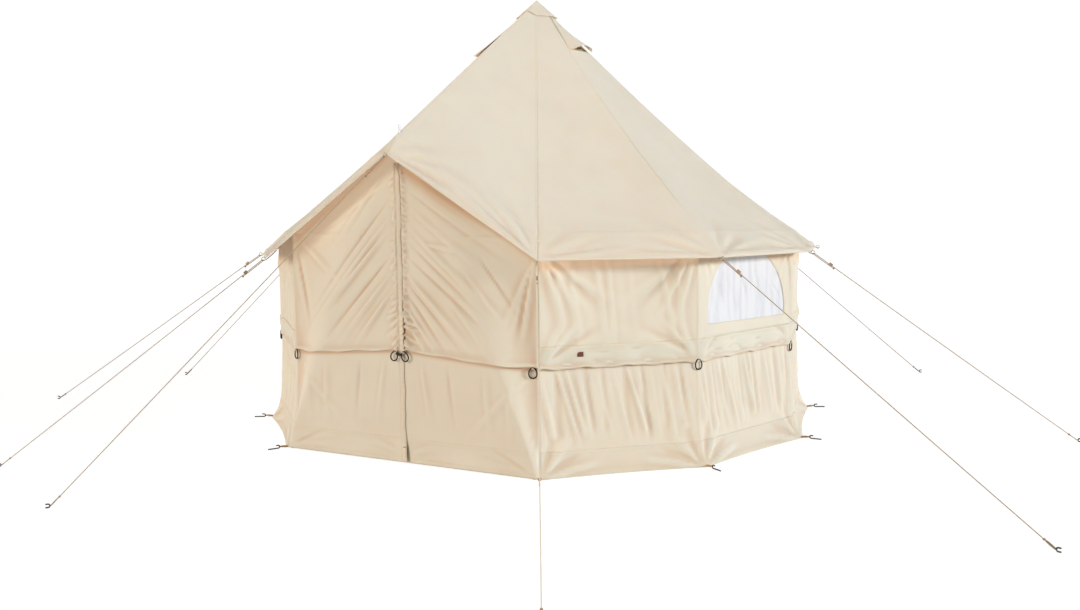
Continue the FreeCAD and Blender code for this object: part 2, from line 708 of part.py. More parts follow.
def build_door_loops(half, trim):
    """The loops and the toggle beside the zip at the waist."""
    level = size("waist_height") + size("door_waist_rise") - size("loop_drop")
    cord = size("loop_cord")
    gap = size("seam_gap")
    reach = size("flap_width") - size("loop_inset")
    left_depth = half + trim + cord + gap
    parts["door_loop_left"] = upright_loop("door_loop_left", in_door(-reach, level, left_depth), 0)
    parts["door_loop_right"] = upright_loop("door_loop_right", in_door(reach, level, half + cord + gap), 0)
    forward = half + trim + size("toggle_radius") + gap
    toggle_level = level + size("toggle_lift")
    parts["door_toggle"] = rod("door_toggle", "Dimensions.toggle_radius",
                               in_door(-size("toggle_left"), toggle_level, forward),
                               in_door(-size("toggle_right"), toggle_level, forward))


# ---------------------------------------------------------------- loops, rings, pegs and guy lines


def build_waist_loops():
    loops = []
    level = size("waist_height") - size("loop_drop")
    low = level - size("loop_radius") - size("loop_cord")
    stand_off = wall_radius(low) + size("loop_cord") + size("seam_gap")
    for angle in CORNERS:
        loops.append(upright_loop(f"waist_loop_{angle:.0f}", around(angle, stand_off, level), angle))
    group = doc.addObject("Part::Compound", "waist_loops")
    group.Links = loops
    parts["waist_loops"] = group


def ridge_angle(corner):
    """The angle of a numbered wall corner, or of the awning's tip for number 0."""
    return CORNERS[corner - 1] if corner else 0


RING_SLACK = {  # how far a guy line pulls its ring off the regular plan, by the corner's rounded angle
    0: (12, 6, -28), 59: (20, 8, 0), 89: (-24, -10, -20), 119: (-20, -11, -45), 301: (34, 18, -44), 332: (-10, -12, -14)}


def ring_centre(angle):
    """The middle of the ring at a roof corner, or at the awning's tip at 0 degrees."""
    edge = size("eave_radius") if angle else size("awning_radius")
    reach = size("ring_radius") + size("ring_wire") + size("seam_gap")
    slack = Vector(*RING_SLACK.get(round(angle), (0, 0, 0)))
    return roof_point(angle, edge) + around(angle, reach, -size("ring_drop")) + slack


def build_eave_rings():
    rings = []
    for angle in [0] + CORNERS:
        ring = doc.addObject("Part::Torus", f"eave_ring_{angle:.0f}")
        bind(ring, Radius1="Dimensions.ring_radius", Radius2="Dimensions.ring_wire")
        turned = Rotation(Vector(0, 0, 1), angle).multiply(Rotation(Vector(0, 1, 0), 90))
        ring.Placement = Placement(ring_centre(angle), turned)
        rings.append(ring)
    group = doc.addObject("Part::Compound", "eave_rings")
    group.Links = rings
    parts["eave_rings"] = group


def peg_shape(name, reach):
    """The part of a peg above the ground, lying along +X, hooked at its inner end."""
    body = doc.addObject("PartDesign::Body", f"{name}_pattern")
    rod_radius, bend, tip = size("peg_rod"), size("peg_bend"), size("peg_tip")
    path = add_sketch(body, f"{name}_path", "XZ_Plane")
    low, high = rod_radius, rod_radius + 2 * bend
    path.addGeometry(Part.LineSegment(Vector(reach, low, 0), Vector(bend, low, 0)), False)
    path.addGeometry(Part.Arc(Vector(bend, low, 0), Vector(0, low + bend, 0), Vector(bend, high, 0)), False)
    path.addGeometry(Part.LineSegment(Vector(bend, high, 0), Vector(bend + tip, high, 0)), False)
    section = add_sketch(body, f"{name}_section", "YZ_Plane", Vector(0, 0, reach))
    section.addGeometry(Part.Circle(Vector(0, low, 0), Vector(0, 0, 1), rod_radius), False)
    doc.recompute()
    pipe = body.newObject("PartDesign::AdditivePipe", f"{name}_sweep")
    pipe.Profile = section
    pipe.Spine = path
    body.Tip = pipe
    doc.recompute()
    length = (reach - bend) + math.pi * bend + tip
    expected = math.pi * rod_radius ** 2 * length
    print(f"{name} volume {pipe.Shape.Volume:.0f}, section by length {expected:.0f}")
    return body.Shape.copy()


def peg_spot(angle, distance):
    return around(angle, distance, 0)


def build_pegs(wall_pattern, guy_pattern):
    def placed(pattern, spot, heading):
        copy = pattern.copy()
        copy.Placement = Placement(spot, Rotation(Vector(0, 0, 1), heading))
        return copy

    wall_reach = size("base_radius") + size("peg_offset")
    add_canvas("wall_pegs", [placed(wall_pattern, peg_spot(angle, wall_reach), angle - 90) for angle in CORNERS])
    guy_pegs = []
    for _name, corner, angle, distance in GUY_LINES:
        run = peg_spot(angle, distance) - ring_centre(ridge_angle(corner))
        heading = math.degrees(math.atan2(run.y, run.x))
        guy_pegs.append(placed(guy_pattern, peg_spot(angle, distance), heading))
    add_canvas("guy_pegs", guy_pegs)


def guy_ends(corner, angle, distance):
    """The two ends of a guy line: clear of its ring, and just short of its peg's hook."""
    ring = ring_centre(ridge_angle(corner))
    peg = peg_spot(angle, distance)
    level = size("peg_rod") + size("peg_bend")
    inward = Vector(ring.x - peg.x, ring.y - peg.y, 0).normalize()
    low = peg + inward * (size("peg_rod") + size("peg_grip") - size("guy_cord")) + Vector(0, 0, level)
    run = (low - ring).normalize()
    clear = size("ring_radius") + size("ring_wire") + size("seam_gap")
    return ring + run * clear, low


def build_guy_lines():
    """Each guy line, the end that comes back through its runner, and the runner itself."""
    returns = []
    for name, corner, angle, distance in GUY_LINES:
        high, low = guy_ends(corner, angle, distance)
        run = (low - high).normalize()
        parts[f"guy_{name}"] = rod(f"guy_{name}", "Dimensions.guy_cord", high, low)
        turned = along(run)
        beside = turned.multVec(Vector(size("runner_pitch"), 0, 0))
        tail = size("runner_start") + size("runner_length") + size("return_tail")
        returns.append(rod(f"return_{name}", "Dimensions.guy_cord", high + beside, high + beside + run * tail))
        parts[f"runner_{name}"] = build_runner(name, high + run * size("runner_start"), turned)
    group = doc.addObject("Part::Compound", "guy_returns")
    group.Links = returns
    parts["guy_returns"] = group


def build_runner(name, start, turned):
    """A flat two-hole runner: its own Z lies along the guy line, and its X points down."""
    body = doc.addObject("PartDesign::Body", f"runner_{name}")
    pitch, radius = size("runner_pitch"), size("runner_body")
    drawing = add_sketch(body, f"runner_outline_{name}", "XY_Plane")
    up, down = Vector(0, radius, 0), Vector(0, -radius, 0)
    far = Vector(pitch, 0, 0)
    drawing.addGeometry(Part.LineSegment(up, far + up), False)
    drawing.addGeometry(Part.Arc(far + up, far + Vector(radius, 0, 0), far + down), False)
    drawing.addGeometry(Part.LineSegment(far + down, down), False)
    drawing.addGeometry(Part.Arc(down, Vector(-radius, 0, 0), up), False)
    bore = size("guy_cord") + size("runner_clearance")
    for centre in (Vector(), far):
        drawing.addGeometry(Part.Circle(centre, Vector(0, 0, 1), bore), False)
    pad = body.newObject("PartDesign::Pad", f"runner_pad_{name}")
    pad.Profile = drawing
    bind(pad, Length="Dimensions.runner_length")
    body.Tip = pad
    body.Placement = Placement(start, turned)
    return body


# ---------------------------------------------------------------- build, check, export


def check_document():
    """Stops the build if an object has failed, or if a sub-part's shape isn't sound."""
    for item in doc.Objects:
        if "Invalid" in item.State or "Error" in item.State:
            raise RuntimeError(f"{item.Name} failed: {item.State}")
    for label, piece in parts.items():
        if piece.Shape.isNull() or not piece.Shape.isValid():
            raise RuntimeError(f"{label} has no sound shape")
        if any(solid.Volume <= 0 for solid in piece.Shape.Solids) or not piece.Shape.Solids:
            raise RuntimeError(f"{label} has no volume")


build_centre_pole()
build_pole_foot()
build_pole_cap()
build_door_frame()
build_roof()
build_walls()
build_door()
build_waist_loops()
build_eave_rings()
build_pegs(peg_shape("wall_peg", size("peg_reach")), peg_shape("guy_peg", size("guy_peg_reach")))
build_guy_lines()
doc.recompute()
check_document()

os.makedirs("parts", exist_ok=True)
for label, piece in parts.items():
    piece.Label = label
    piece.Shape.exportStep(os.path.join("parts", f"{label}.step"))
print(f"{len(parts)} sub-parts written")
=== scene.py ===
"""The looks of the bell tent: canvas, seams, folds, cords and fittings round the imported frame.

Metres, +Z up, door at -Y.
"""
import math

import bmesh
import bpy
import numpy as np
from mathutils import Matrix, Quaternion, Vector
from mathutils.geometry import delaunay_2d_cdt


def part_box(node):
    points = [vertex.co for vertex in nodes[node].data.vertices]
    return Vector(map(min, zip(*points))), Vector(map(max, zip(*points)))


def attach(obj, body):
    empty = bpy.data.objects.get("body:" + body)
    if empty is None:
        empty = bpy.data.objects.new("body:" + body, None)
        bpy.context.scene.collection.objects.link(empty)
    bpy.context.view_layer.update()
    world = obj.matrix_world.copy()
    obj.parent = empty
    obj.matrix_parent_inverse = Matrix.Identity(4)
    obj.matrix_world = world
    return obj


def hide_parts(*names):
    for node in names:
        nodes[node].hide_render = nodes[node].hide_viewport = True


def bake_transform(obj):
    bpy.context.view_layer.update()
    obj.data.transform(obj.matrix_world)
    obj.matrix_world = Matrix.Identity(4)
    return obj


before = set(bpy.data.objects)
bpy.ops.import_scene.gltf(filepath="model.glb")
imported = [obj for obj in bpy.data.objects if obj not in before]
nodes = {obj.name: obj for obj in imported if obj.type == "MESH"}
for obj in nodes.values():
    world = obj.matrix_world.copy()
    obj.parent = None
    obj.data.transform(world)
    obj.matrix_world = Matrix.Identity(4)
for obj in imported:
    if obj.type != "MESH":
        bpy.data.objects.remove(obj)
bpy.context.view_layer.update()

# ---------------------------------------------------------------- sizes, as the frame has them

BASE_R, EAVE_R, EAVE_Z, TOP_Z = 1.500, 1.553, 0.950, 2.247
WALL_TOP_R, WAIST_R, WAIST_Z, HEM_Z = 1.427, 1.428, 0.485, 0.110
PEAK_Z, TIP_R, CROWN_R, CAP_R = 1.508, 1.430, 0.020, 0.112
DOOR_ANGLE = 28.3
STEP = (180 - DOOR_ANGLE) / 5
CORNERS = [DOOR_ANGLE + STEP * k for k in range(11)]
WINDOW_PANELS = (1, 8)
WINDOW_HALF, WINDOW_SILL, WINDOW_RISE = 0.310, 0.640, 0.352
DOOR_Y = BASE_R * math.cos(math.radians(DOOR_ANGLE))
DOOR_HALF = BASE_R * math.sin(math.radians(DOOR_ANGLE))
CORNER_SLOPE = (TOP_Z - EAVE_Z) / EAVE_R
RIDGE_SLOPE = (TOP_Z - PEAK_Z) / DOOR_Y
WALL_TOP_Z = TOP_Z - CORNER_SLOPE * WALL_TOP_R - 0.003
HALF_STEP = math.radians(STEP / 2)
GORES = [(0, CORNERS[0])] + list(zip(CORNERS, CORNERS[1:])) + [(CORNERS[-1], 360)]
VENT_GORES = (2, 9)
VENT_TOP, VENT_BOTTOM, VENT_HALF = 0.105, 0.330, 0.080
BAND_FOOT, BAND_TOP = WAIST_Z - 0.012, WAIST_Z + 0.092
DOOR_RISE, DOOR_REACH = 0.042, 0.68  # how far the waist seam rises to the zip, and over what distance
CLOTH = 0.0012
CELL, ROOF_CELL, DOOR_CELL = 0.0085, 0.012, 0.0055  # how finely each cloth is divided
PANEL_UV = 1.7  # how far apart the wall panels lie in the weave's coordinates
STITCH_LINE = 0.016  # height of the lowest row of stitches
UP = np.array([0, 0, 1.0])

TAUT_RIDGE = (0.022, 0.915)  # how far a ridge hangs at its middle, and how far along it the sag ends
RIDGE_SLACK = {89: (0.036, 1.0), 119: (0.080, 1.0), 301: (0.026, 0.915)}  # the same for slack ones, by rounded angle
EAVE_NUDGE = {  # roof corners that sit a little off the regular plan: x, y, z in metres, by rounded angle
    0: (0.012, 0.006, -0.028), 28: (-0.008, 0.014, 0.010), 59: (0.020, 0.008, 0.0), 89: (-0.024, -0.010, -0.020),
    119: (-0.020, -0.011, -0.045), 301: (0.034, 0.018, -0.044), 332: (-0.010, -0.012, -0.014)}


def around(angle, radius, z):
    """A point at an angle from the door, towards the right, and a distance from the centre pole."""
    a = math.radians(angle)
    return np.array([radius * math.sin(a), -radius * math.cos(a), z])


def ridge(angle, radius):
    """A point of a straight roof ridge; the awning's own ridge, over the door, falls less."""
    slope = CORNER_SLOPE if angle % 360 else RIDGE_SLOPE
    return around(angle, radius, TOP_Z - slope * radius)


def smooth(x, low, high):
    """Rises from 0 to 1 between two values, with soft ends."""
    p = np.clip((x - low) / (high - low), 0, 1)
    return p * p * (3 - 2 * p)


def bell(x, width):
    return np.exp(-(x / width) ** 2)


def nearest(*distances):
    return np.minimum.reduce(np.broadcast_arrays(*distances))


def raised(points, normal, lift):
    return points + normal * lift[..., None]


def unit(vector):
    return vector / np.linalg.norm(vector)


def wall_axes(angle):
    """Outwards, to the right and up, on a wall that faces an angle."""
    a = math.radians(angle)
    return np.array([math.sin(a), -math.cos(a), 0]), np.array([math.cos(a), math.sin(a), 0]), UP


def panel_axes(panel):
    return wall_axes((CORNERS[panel] + CORNERS[panel + 1]) / 2)


# ---------------------------------------------------------------- folds


def crease(x, y, start, end, width, height, lead=0.35, hold=None):
    """A fold along a line: a rounded ridge that rises over its first share and dies away after its hold."""
    (x0, y0), (x1, y1) = start, end
    length = math.hypot(x1 - x0, y1 - y0)
    ux, uy = (x1 - x0) / length, (y1 - y0) / length
    along = ((x - x0) * ux + (y - y0) * uy) / length
    off = (x - x0) * -uy + (y - y0) * ux
    swell = smooth(along, 0, lead) * (1 - smooth(along, lead if hold is None else hold, 1.0))
    grow = width * (0.55 + 0.9 * np.clip(along, 0, 1))
    return height * swell * bell(off, grow)


def rolling(x, y, seed, scale):
    """Slow unevenness, from a few waves of fixed but unequal length and direction."""
    draw = np.random.RandomState(seed)
    total = np.zeros_like(x)
    for _ in range(9):
        angle, phase = draw.uniform(0, math.pi), draw.uniform(0, 2 * math.pi)
        wave = scale * draw.uniform(0.6, 1.9)
        total += np.sin((x * math.cos(angle) + y * math.sin(angle)) * 2 * math.pi / wave + phase) * wave / scale
    return total / 9


def pleats(x, y, seed, spacing, lean, top, bottom, height):
    """Hanging folds of uneven spacing, from one height down to another, leaning by a slope."""
    draw = np.random.RandomState(seed)
    total = np.zeros_like(x)
    place = x.min() - spacing * draw.uniform(0.0, 0.8)
    while place < x.max() - spacing * 0.3:
        low = bottom + draw.uniform(-0.10, 0.12) * (top - bottom)
        high = top + 0.06 * (top - bottom)
        slope = lean * draw.uniform(0.5, 1.5)
        wide = spacing * draw.uniform(0.11, 0.22)
        total += crease(x, y, (place, high), (place + slope * (high - low), low), wide,
                        height * draw.uniform(0.35, 1.25), 0.30, draw.uniform(0.70, 0.92))
        place += spacing * draw.uniform(0.65, 1.45)
    return total


# ---------------------------------------------------------------- meshes


def link(piece):
    bpy.context.scene.collection.objects.link(piece)
    return piece


def new_object(name, points, faces, uvs=None, attributes=None):
    mesh = bpy.data.meshes.new(name)
    mesh.from_pydata([tuple(p) for p in points], [], faces)
    if uvs is not None:
        layer = mesh.uv_layers.new(name="UVMap")
        loops = np.zeros(len(mesh.loops), np.int64)
        mesh.loops.foreach_get("vertex_index", loops)
        layer.data.foreach_set("uv", np.asarray(uvs, np.float32)[loops].ravel())
    for key, values in (attributes or {}).items():
        mesh.attributes.new(key, "FLOAT", "POINT").data.foreach_set("value", np.asarray(values, np.float32))
    mesh.polygons.foreach_set("use_smooth", np.ones(len(mesh.polygons), bool))
    mesh.update()
    return link(bpy.data.objects.new(name, mesh))


def weld(piece, distance=0.0006):
    work = bmesh.new()
    work.from_mesh(piece.data)
    bmesh.ops.remove_doubles(work, verts=work.verts, dist=distance)
    work.to_mesh(piece.data)
    work.free()
    piece.data.update()


def thicken(piece, thickness, offset=-1.0):
    shell = piece.modifiers.new("thickness", "SOLIDIFY")
    shell.thickness = thickness
    shell.offset = offset
    bpy.context.view_layer.update()
    done = bpy.data.meshes.new_from_object(piece.evaluated_get(bpy.context.evaluated_depsgraph_get()))
    piece.modifiers.clear()
    piece.data = done


def hollows(points):
    """How deep each point of a grid lies between its neighbours, from 0 to 1; Cloth.grid paints shade into the
    hollows by it.
    """
    rows, columns = points.shape[:2]
    if rows < 9 or columns < 9:
        return np.zeros((rows, columns))
    wide = np.pad(points, ((3, 3), (3, 3), (0, 0)), mode="reflect", reflect_type="odd")
    mean = sum(wide[a:a + rows, b:b + columns] for a in range(7) for b in range(7)) / 49
    normal = np.cross(np.gradient(points, axis=1), np.gradient(points, axis=0))
    normal /= np.maximum(np.linalg.norm(normal, axis=-1, keepdims=True), 1e-12)
    normal *= np.sign((normal * (points - [0, 0, 0.3])).sum(-1, keepdims=True))
    return np.clip(((mean - points) * normal).sum(-1) / 0.0022, 0, 1) ** 0.8


class Cloth:
    """Collects grids of cloth, with their seam distances, painted shade and painted glow, and makes one mesh of
    them.
    """

    def __init__(self):
        self.parts, self.faces, self.count = [], [], 0

    def grid(self, points, uv, seam, keep=None, shade=0.0, gain=0.45, glow=0.0):
        rows, columns = points.shape[:2]
        index = np.arange(rows * columns).reshape(rows, columns) + self.count
        quads = np.stack([index[:-1, :-1], index[:-1, 1:], index[1:, 1:], index[1:, :-1]], -1).reshape(-1, 4)
        if keep is not None:
            quads = quads[keep.ravel()]
        glow = np.broadcast_to(glow, (rows, columns))
        # Painted shade: the hollows between folds, times gain, plus any shade given, darken the canvas colour
        # through the 'shade' attribute.
        shade = np.clip(gain * hollows(points) + shade, 0, 1)
        self.add(points.reshape(-1, 3), [u.ravel() for u in uv], seam.ravel(), quads.tolist(), shade.ravel(),
                 glow.ravel())

    def add(self, points, uv, seam, faces, shade, glow):
        self.parts.append((points, np.stack(uv, -1), seam, shade, glow))
        self.faces += faces
        self.count += len(points)

    def make(self, name, thickness=CLOTH, join=True):
        points, uvs, *layers = (np.concatenate(part) for part in zip(*self.parts))
        piece = new_object(name, points, self.faces, uvs, dict(zip(("seam", "shade", "glow"), layers)))
        if join:
            weld(piece)
        thicken(piece, thickness)
        return piece


def bilinear(low_left, low_right, high_left, high_right, s, t):
    s, t = s[..., None], t[..., None]
    return (low_left * (1 - s) + low_right * s) * (1 - t) + (high_left * (1 - s) + high_right * s) * t


def span(count_u, count_v):
    s, t = np.meshgrid(np.linspace(0, 1, count_u), np.linspace(0, 1, count_v))
    return s, t


def cells(length, cell=CELL):
    return max(3, int(round(length / cell)) + 1)


# ---------------------------------------------------------------- roof


def ridge_sag(angle, t):
    """How far a ridge hangs below its straight line."""
    slack, end = RIDGE_SLACK.get(round(angle), TAUT_RIDGE)
    return slack * np.sin(np.pi * np.clip(t / end, 0, 1))


def roof_pull(left, right, s, t):
    """How a point of a gore moves from the regular plan, with the sag and the shift of its two ridges."""
    pull = 0.0
    for turn, share in ((left, 1 - s), (right, s)):
        key = round(turn) % 360
        if key in (89, 119, 301):
            grow = t
        elif key in (0, 332):
            grow = smooth(t, 0.92, 1.0)
        else:
            grow = smooth(t, 0.55, 1.0)
        drop = 0.0 if key == 0 else ridge_sag(turn, t)
        shift = np.array(EAVE_NUDGE.get(key, (0, 0, 0))) * grow[..., None]
        pull = pull + (shift - UP * np.broadcast_to(drop, t.shape)[..., None]) * share[..., None]
    return pull


def under_roof(points):
    """Upper wall points, drawn down evenly where the roof's slack hangs below the wall's straight top."""
    made = points.copy()
    top = points * (WALL_TOP_R / upper_radius(points[..., 2]))[..., None]
    angle = np.degrees(np.arctan2(points[..., 0], -points[..., 1])) % 360
    for left, right in GORES[1:-1]:
        inside = (angle >= left - 1e-6) & (angle <= right + 1e-6)
        if not inside.any():
            continue
        spot = top[inside][:, :2]
        low_left, low_right = ridge(left, EAVE_R), ridge(right, EAVE_R)
        grid = np.linalg.inv(np.array([low_left[:2], low_right[:2]]).T)
        moved = np.zeros((len(spot), 3))
        for _ in range(3):
            a, b = grid @ (spot - moved[:, :2]).T
            t = np.clip(a + b, 1e-3, 1.2)
            s = np.clip(b / t, 0, 1)
            moved = roof_pull(left, right, s, t)
        height = TOP_Z - (TOP_Z - EAVE_Z) * t + moved[:, 2] - 0.010 * np.sin(np.pi * s) - 0.009
        share = np.clip((height - WAIST_Z) / (WALL_TOP_Z - WAIST_Z), 0.5, 1)
        level = points[inside][:, 2]
        made[inside, 2] = np.where(level > WAIST_Z, WAIST_Z + (level - WAIST_Z) * share, level)
    return made


def gore(cloth, number, left, right, left_r, right_r):
    """One roof gore, from the crown to the eave, with its sag, its sewn line and its tension folds."""
    door = left % 360 == 0 or right % 360 == 0
    low_left, low_right = ridge(left, left_r), ridge(right, right_r)
    high_left, high_right = ridge(left, CROWN_R), ridge(right, CROWN_R)
    width = np.linalg.norm(low_right - low_left)
    length = np.linalg.norm((low_left + low_right - high_left - high_right) / 2)
    s, t = span(cells(width, ROOF_CELL), cells(length, ROOF_CELL))
    points = bilinear(high_left, high_right, low_left, low_right, s, t)
    normal = np.cross(high_left - low_left, low_right - low_left)
    normal = normal / np.linalg.norm(normal) * (-1 if normal[2] < 0 else 1)
    local_width = width * t
    x = (s - 0.5) * local_width
    y = t * length
    edge = np.minimum(s, 1 - s) * local_width
    radius = CROWN_R + t * ((left_r * (1 - s) + right_r * s) - CROWN_R)
    if door:
        from_ridge = s if left % 360 == 0 else 1 - s
        sewn = DOOR_Y * (1 - from_ridge) + WALL_TOP_R * from_ridge
        outer = TIP_R * (1 - from_ridge) + EAVE_R * from_ridge
        beyond = np.clip((radius - sewn) / (outer - sewn), -9, 1)
    else:
        beyond = (radius - WALL_TOP_R) / (EAVE_R - WALL_TOP_R)
    free = 1 - bell(edge, 0.035)
    sag = -0.010 * np.sin(np.pi * s) * smooth(t, 0.05, 0.7) * (1 - smooth(beyond, -0.5, 0.6))
    lift = sag + 0.0022 * rolling(x, y, 40 + number, 0.42) * free
    for side in (-1, 1):
        corner = side * width / 2
        reach = 0.62 * width
        for k, (turn, run, high) in enumerate([(4, 1.0, 0.0042), (9, 0.8, -0.0036), (15, 0.95, 0.0038),
                                               (23, 0.75, -0.0032), (33, 0.85, 0.0028), (48, 0.9, -0.0022)]):
            a = math.radians(turn + 3 * math.sin(number * 2.3 + k + side))
            start = (corner - side * 0.02, length - 0.012)
            stop = (corner - side * (0.02 + reach * run * math.cos(a)), length - 0.012 - reach * run * math.sin(a))
            high *= 2.6 * (1 + 0.35 * math.sin(number + 2.1 * k))
            lift += crease(x, y, start, stop, 0.013 + 0.004 * k, high, 0.2)
    draw = np.random.RandomState(820 + number)
    for _ in range(14):
        place, level = draw.uniform(-0.36, 0.26) * width / 0.8, length - draw.uniform(0.02, 0.13)
        lift += crease(x, y, (place, level), (place + draw.uniform(0.05, 0.16), level - draw.uniform(-0.01, 0.06)),
                       draw.uniform(0.006, 0.012), draw.uniform(-0.003, 0.004), 0.4)
    lift += 0.0015 * bell(beyond + 0.02, 0.06)
    if not door:
        lift += 0.007 * smooth(beyond, -1.6, 0.0) * (1 - smooth(beyond, 0.0, 1.0))
    lift = sag + (lift - sag) * (1 - bell(edge, 0.016))
    pull = roof_pull(left, right, s, t)
    points = points + pull
    points = raised(points, normal, lift)
    near = nearest(edge, np.abs(beyond) * 0.13, np.abs((1 - beyond) * 0.13 - 0.022))
    keep = None
    if number in VENT_GORES:
        keep = ~vent_area(x[:-1, :-1] + ROOF_CELL / 2, radius[:-1, :-1] + ROOF_CELL / 2)
    cloth.grid(points, (x + number * 1.3, y), near, keep, gain=0.18)


def vent_area(x, radius):
    """Where the canvas is open under a hood."""
    share = (radius - VENT_TOP - 0.045) / (VENT_BOTTOM - 0.025 - VENT_TOP - 0.045)
    return (share > 0) & (share < 1) & (np.abs(x) < VENT_HALF * 0.62 * share)


def build_roof():
    cloth = Cloth()
    for number, (left, right) in enumerate(GORES):
        left_r = TIP_R if left == 0 else EAVE_R
        right_r = TIP_R if right == 360 else EAVE_R
        gore(cloth, number, left, right, left_r, right_r)
    ridge_tapes()
    piece = cloth.make("roof_canvas", 0.0016)
    dress(piece, "canvas", CANVAS_SEWN, "roof_gores", "vented_gores", "door_gores", "awning")


def ridge_tapes():
    """The felled seam that stands up a little along each ridge."""
    tapes = Cloth()
    for corner in CORNERS:
        s, t = span(3, 90)
        share = 0.07 + 0.925 * t
        middle = bilinear(*(ridge(corner, radius) for radius in (0.0, 0.0, EAVE_R, EAVE_R)), s, share)
        aside = around(corner + 90, 1.0, 0.0)
        half = 0.0055 * (2 * s - 1)
        drop = np.abs(half) * CORNER_SLOPE * math.tan(HALF_STEP) - 0.0010
        points = middle + aside * half[..., None] - UP * drop[..., None]
        points = points + roof_pull(corner, corner, s, share)
        tapes.grid(points, (half, share * EAVE_R), np.full(s.shape, 0.0095))
    piece = tapes.make("ridge_seams", 0.0005, join=False)
    dress(piece, "canvas_trim", CANVAS_SEWN)


def gore_axes(number):
    left, right = GORES[number]
    top = ridge(left + 1e-6, 0)
    low = (ridge(left, EAVE_R) + ridge(right, EAVE_R)) / 2
    down = unit(low - top)
    across = unit(ridge(right, EAVE_R) - ridge(left, EAVE_R))
    normal = np.cross(down, across)
    return top, down, across, normal * (1 if normal[2] > 0 else -1), math.hypot(down[0], down[1])


def on_gore(number, distance, sideways, lift):
    top, down, across, normal, flat = gore_axes(number)
    sunk = lift - ridge_sag(GORES[number][0], distance / EAVE_R) * 0.76
    return (top + down * (distance / flat)[..., None] + across * sideways[..., None] + normal * sunk[..., None])


def build_vents():
    hoods, mesh = Cloth(), Cloth()
    for number in VENT_GORES:
        s, t = span(33, 31)
        u = 2 * s - 1
        reach = VENT_TOP + (VENT_BOTTOM - VENT_TOP) * t + 0.010 * t * (1 - u * u)
        tall = 0.046 if number < 5 else 0.028
        lift = 0.003 + tall * t ** 1.9 * (1 - np.abs(u) ** 2.2) ** 0.8
        lift += 0.0022 * np.sin(u * 5 + 3 * t) * t
        points = on_gore(number, reach, u * VENT_HALF * (0.02 + 0.98 * t), lift)
        edge = np.minimum((1 - np.abs(u)) * VENT_HALF * t, (1 - t) * 0.24)
        hoods.grid(points, (u * VENT_HALF * t, t * 0.24), np.abs(edge - 0.012))
        s, t = span(13, 15)
        u = 2 * s - 1
        reach = VENT_TOP + 0.030 + (VENT_BOTTOM - 0.020 - VENT_TOP - 0.030) * t
        points = on_gore(number, reach, u * VENT_HALF * 0.78 * (0.05 + 0.95 * t), -0.006 - 0.006 * t * (1 - u * u))
        mesh.grid(points, (u * VENT_HALF, t * 0.2), np.full(u.shape, 0.05))
    hood = hoods.make("vent_hood_canvas", 0.0012, join=False)
    dress(hood, "canvas_trim", CANVAS_SEWN, "vent_hoods")
    screen = mesh.make("vent_screen", 0.0005, join=False)
    dress(screen, "mesh", MESH_CLOTH, "vent_mesh")


def build_apex_cap():
    cloth = Cloth()
    for number, (left, right) in enumerate(GORES):
        s, t = span(9, 13)
        points = bilinear(ridge(left, 0.0), ridge(right, 0.0), ridge(left, CAP_R), ridge(right, CAP_R), s, t)
        lift = 0.0035 - 0.0015 * t + 0.002 * np.sin(np.pi * s) * t ** 2
        points = raised(points, UP, lift)
        x = (s - 0.5) * 0.055 * t
        seam = nearest(s * 0.055 * t, (1 - s) * 0.055 * t, np.abs((1 - t) * CAP_R * 1.3 - 0.012))
        cloth.grid(points, (x + number, t * 0.14), seam)
    piece = cloth.make("apex_cover", 0.0014)
    dress(piece, "canvas_trim", CANVAS_SEWN, "apex_cap")


# ---------------------------------------------------------------- walls


def lower_corner_radius(z):
    """The wall's corner flares out to its peg near the ground."""
    share = np.clip(1 - z / WAIST_Z, 0, 1)
    return WAIST_R - 0.004 + 0.018 * share + (BASE_R - WAIST_R - 0.016) * np.exp(-np.maximum(z, 0) / 0.055)


def wall_grid(panel, low, high, corner_radius):
    """Points of a wall panel between two heights, its metric coordinates, and its outward normal."""
    left, right = CORNERS[panel], CORNERS[panel + 1]
    width = 2 * BASE_R * math.sin(HALF_STEP)
    s, t = span(cells(width), cells(high - low))
    z = low + (high - low) * t
    radius = corner_radius(z)
    a, b = math.radians(left), math.radians(right)
    px = radius * (math.sin(a) * (1 - s) + math.sin(b) * s)
    py = -radius * (math.cos(a) * (1 - s) + math.cos(b) * s)
    x = (s - 0.5) * 2 * radius * math.sin(HALF_STEP)
    edge = np.minimum(s, 1 - s) * 2 * radius * math.sin(HALF_STEP)
    return np.stack([px, py, z], -1), x, z, panel_axes(panel)[0], edge


def upper_folds(panel, x, z, edge):
    free = 1 - bell(edge, 0.03)
    fade = 1 - smooth(z, WALL_TOP_Z - 0.02, WALL_TOP_Z)
    lift = 0.0016 * rolling(x, z, 7 + panel, 0.30)
    windowed = panel in WINDOW_PANELS
    lift += pleats(x, z, 100 + panel, 0.085, 0.16 if panel < 5 else -0.16, WALL_TOP_Z, WAIST_Z + 0.05,
                   0.0020 if windowed else 0.0038)
    for side in (-1, 1):
        half, scale = 0.36, 0.5 if windowed else 1.0
        for k, (dx, dz, high) in enumerate([(0.20, 0.42, 0.011), (0.30, 0.36, -0.010), (0.12, 0.45, 0.010),
                                            (0.42, 0.33, 0.008)]):
            lift += crease(x, z, (side * half, WALL_TOP_Z - 0.03 * k), (side * (half - dx), WALL_TOP_Z - dz),
                           0.014 + 0.004 * k, high * scale * (1 + 0.3 * math.sin(panel * 1.7 + k)), 0.25)
            lift += crease(x, z, (side * half, WAIST_Z + 0.01), (side * (half - dx), WAIST_Z + dz * 0.55),
                           0.012 + 0.004 * k, high * 0.8 * scale, 0.25)
    return lift * free * fade


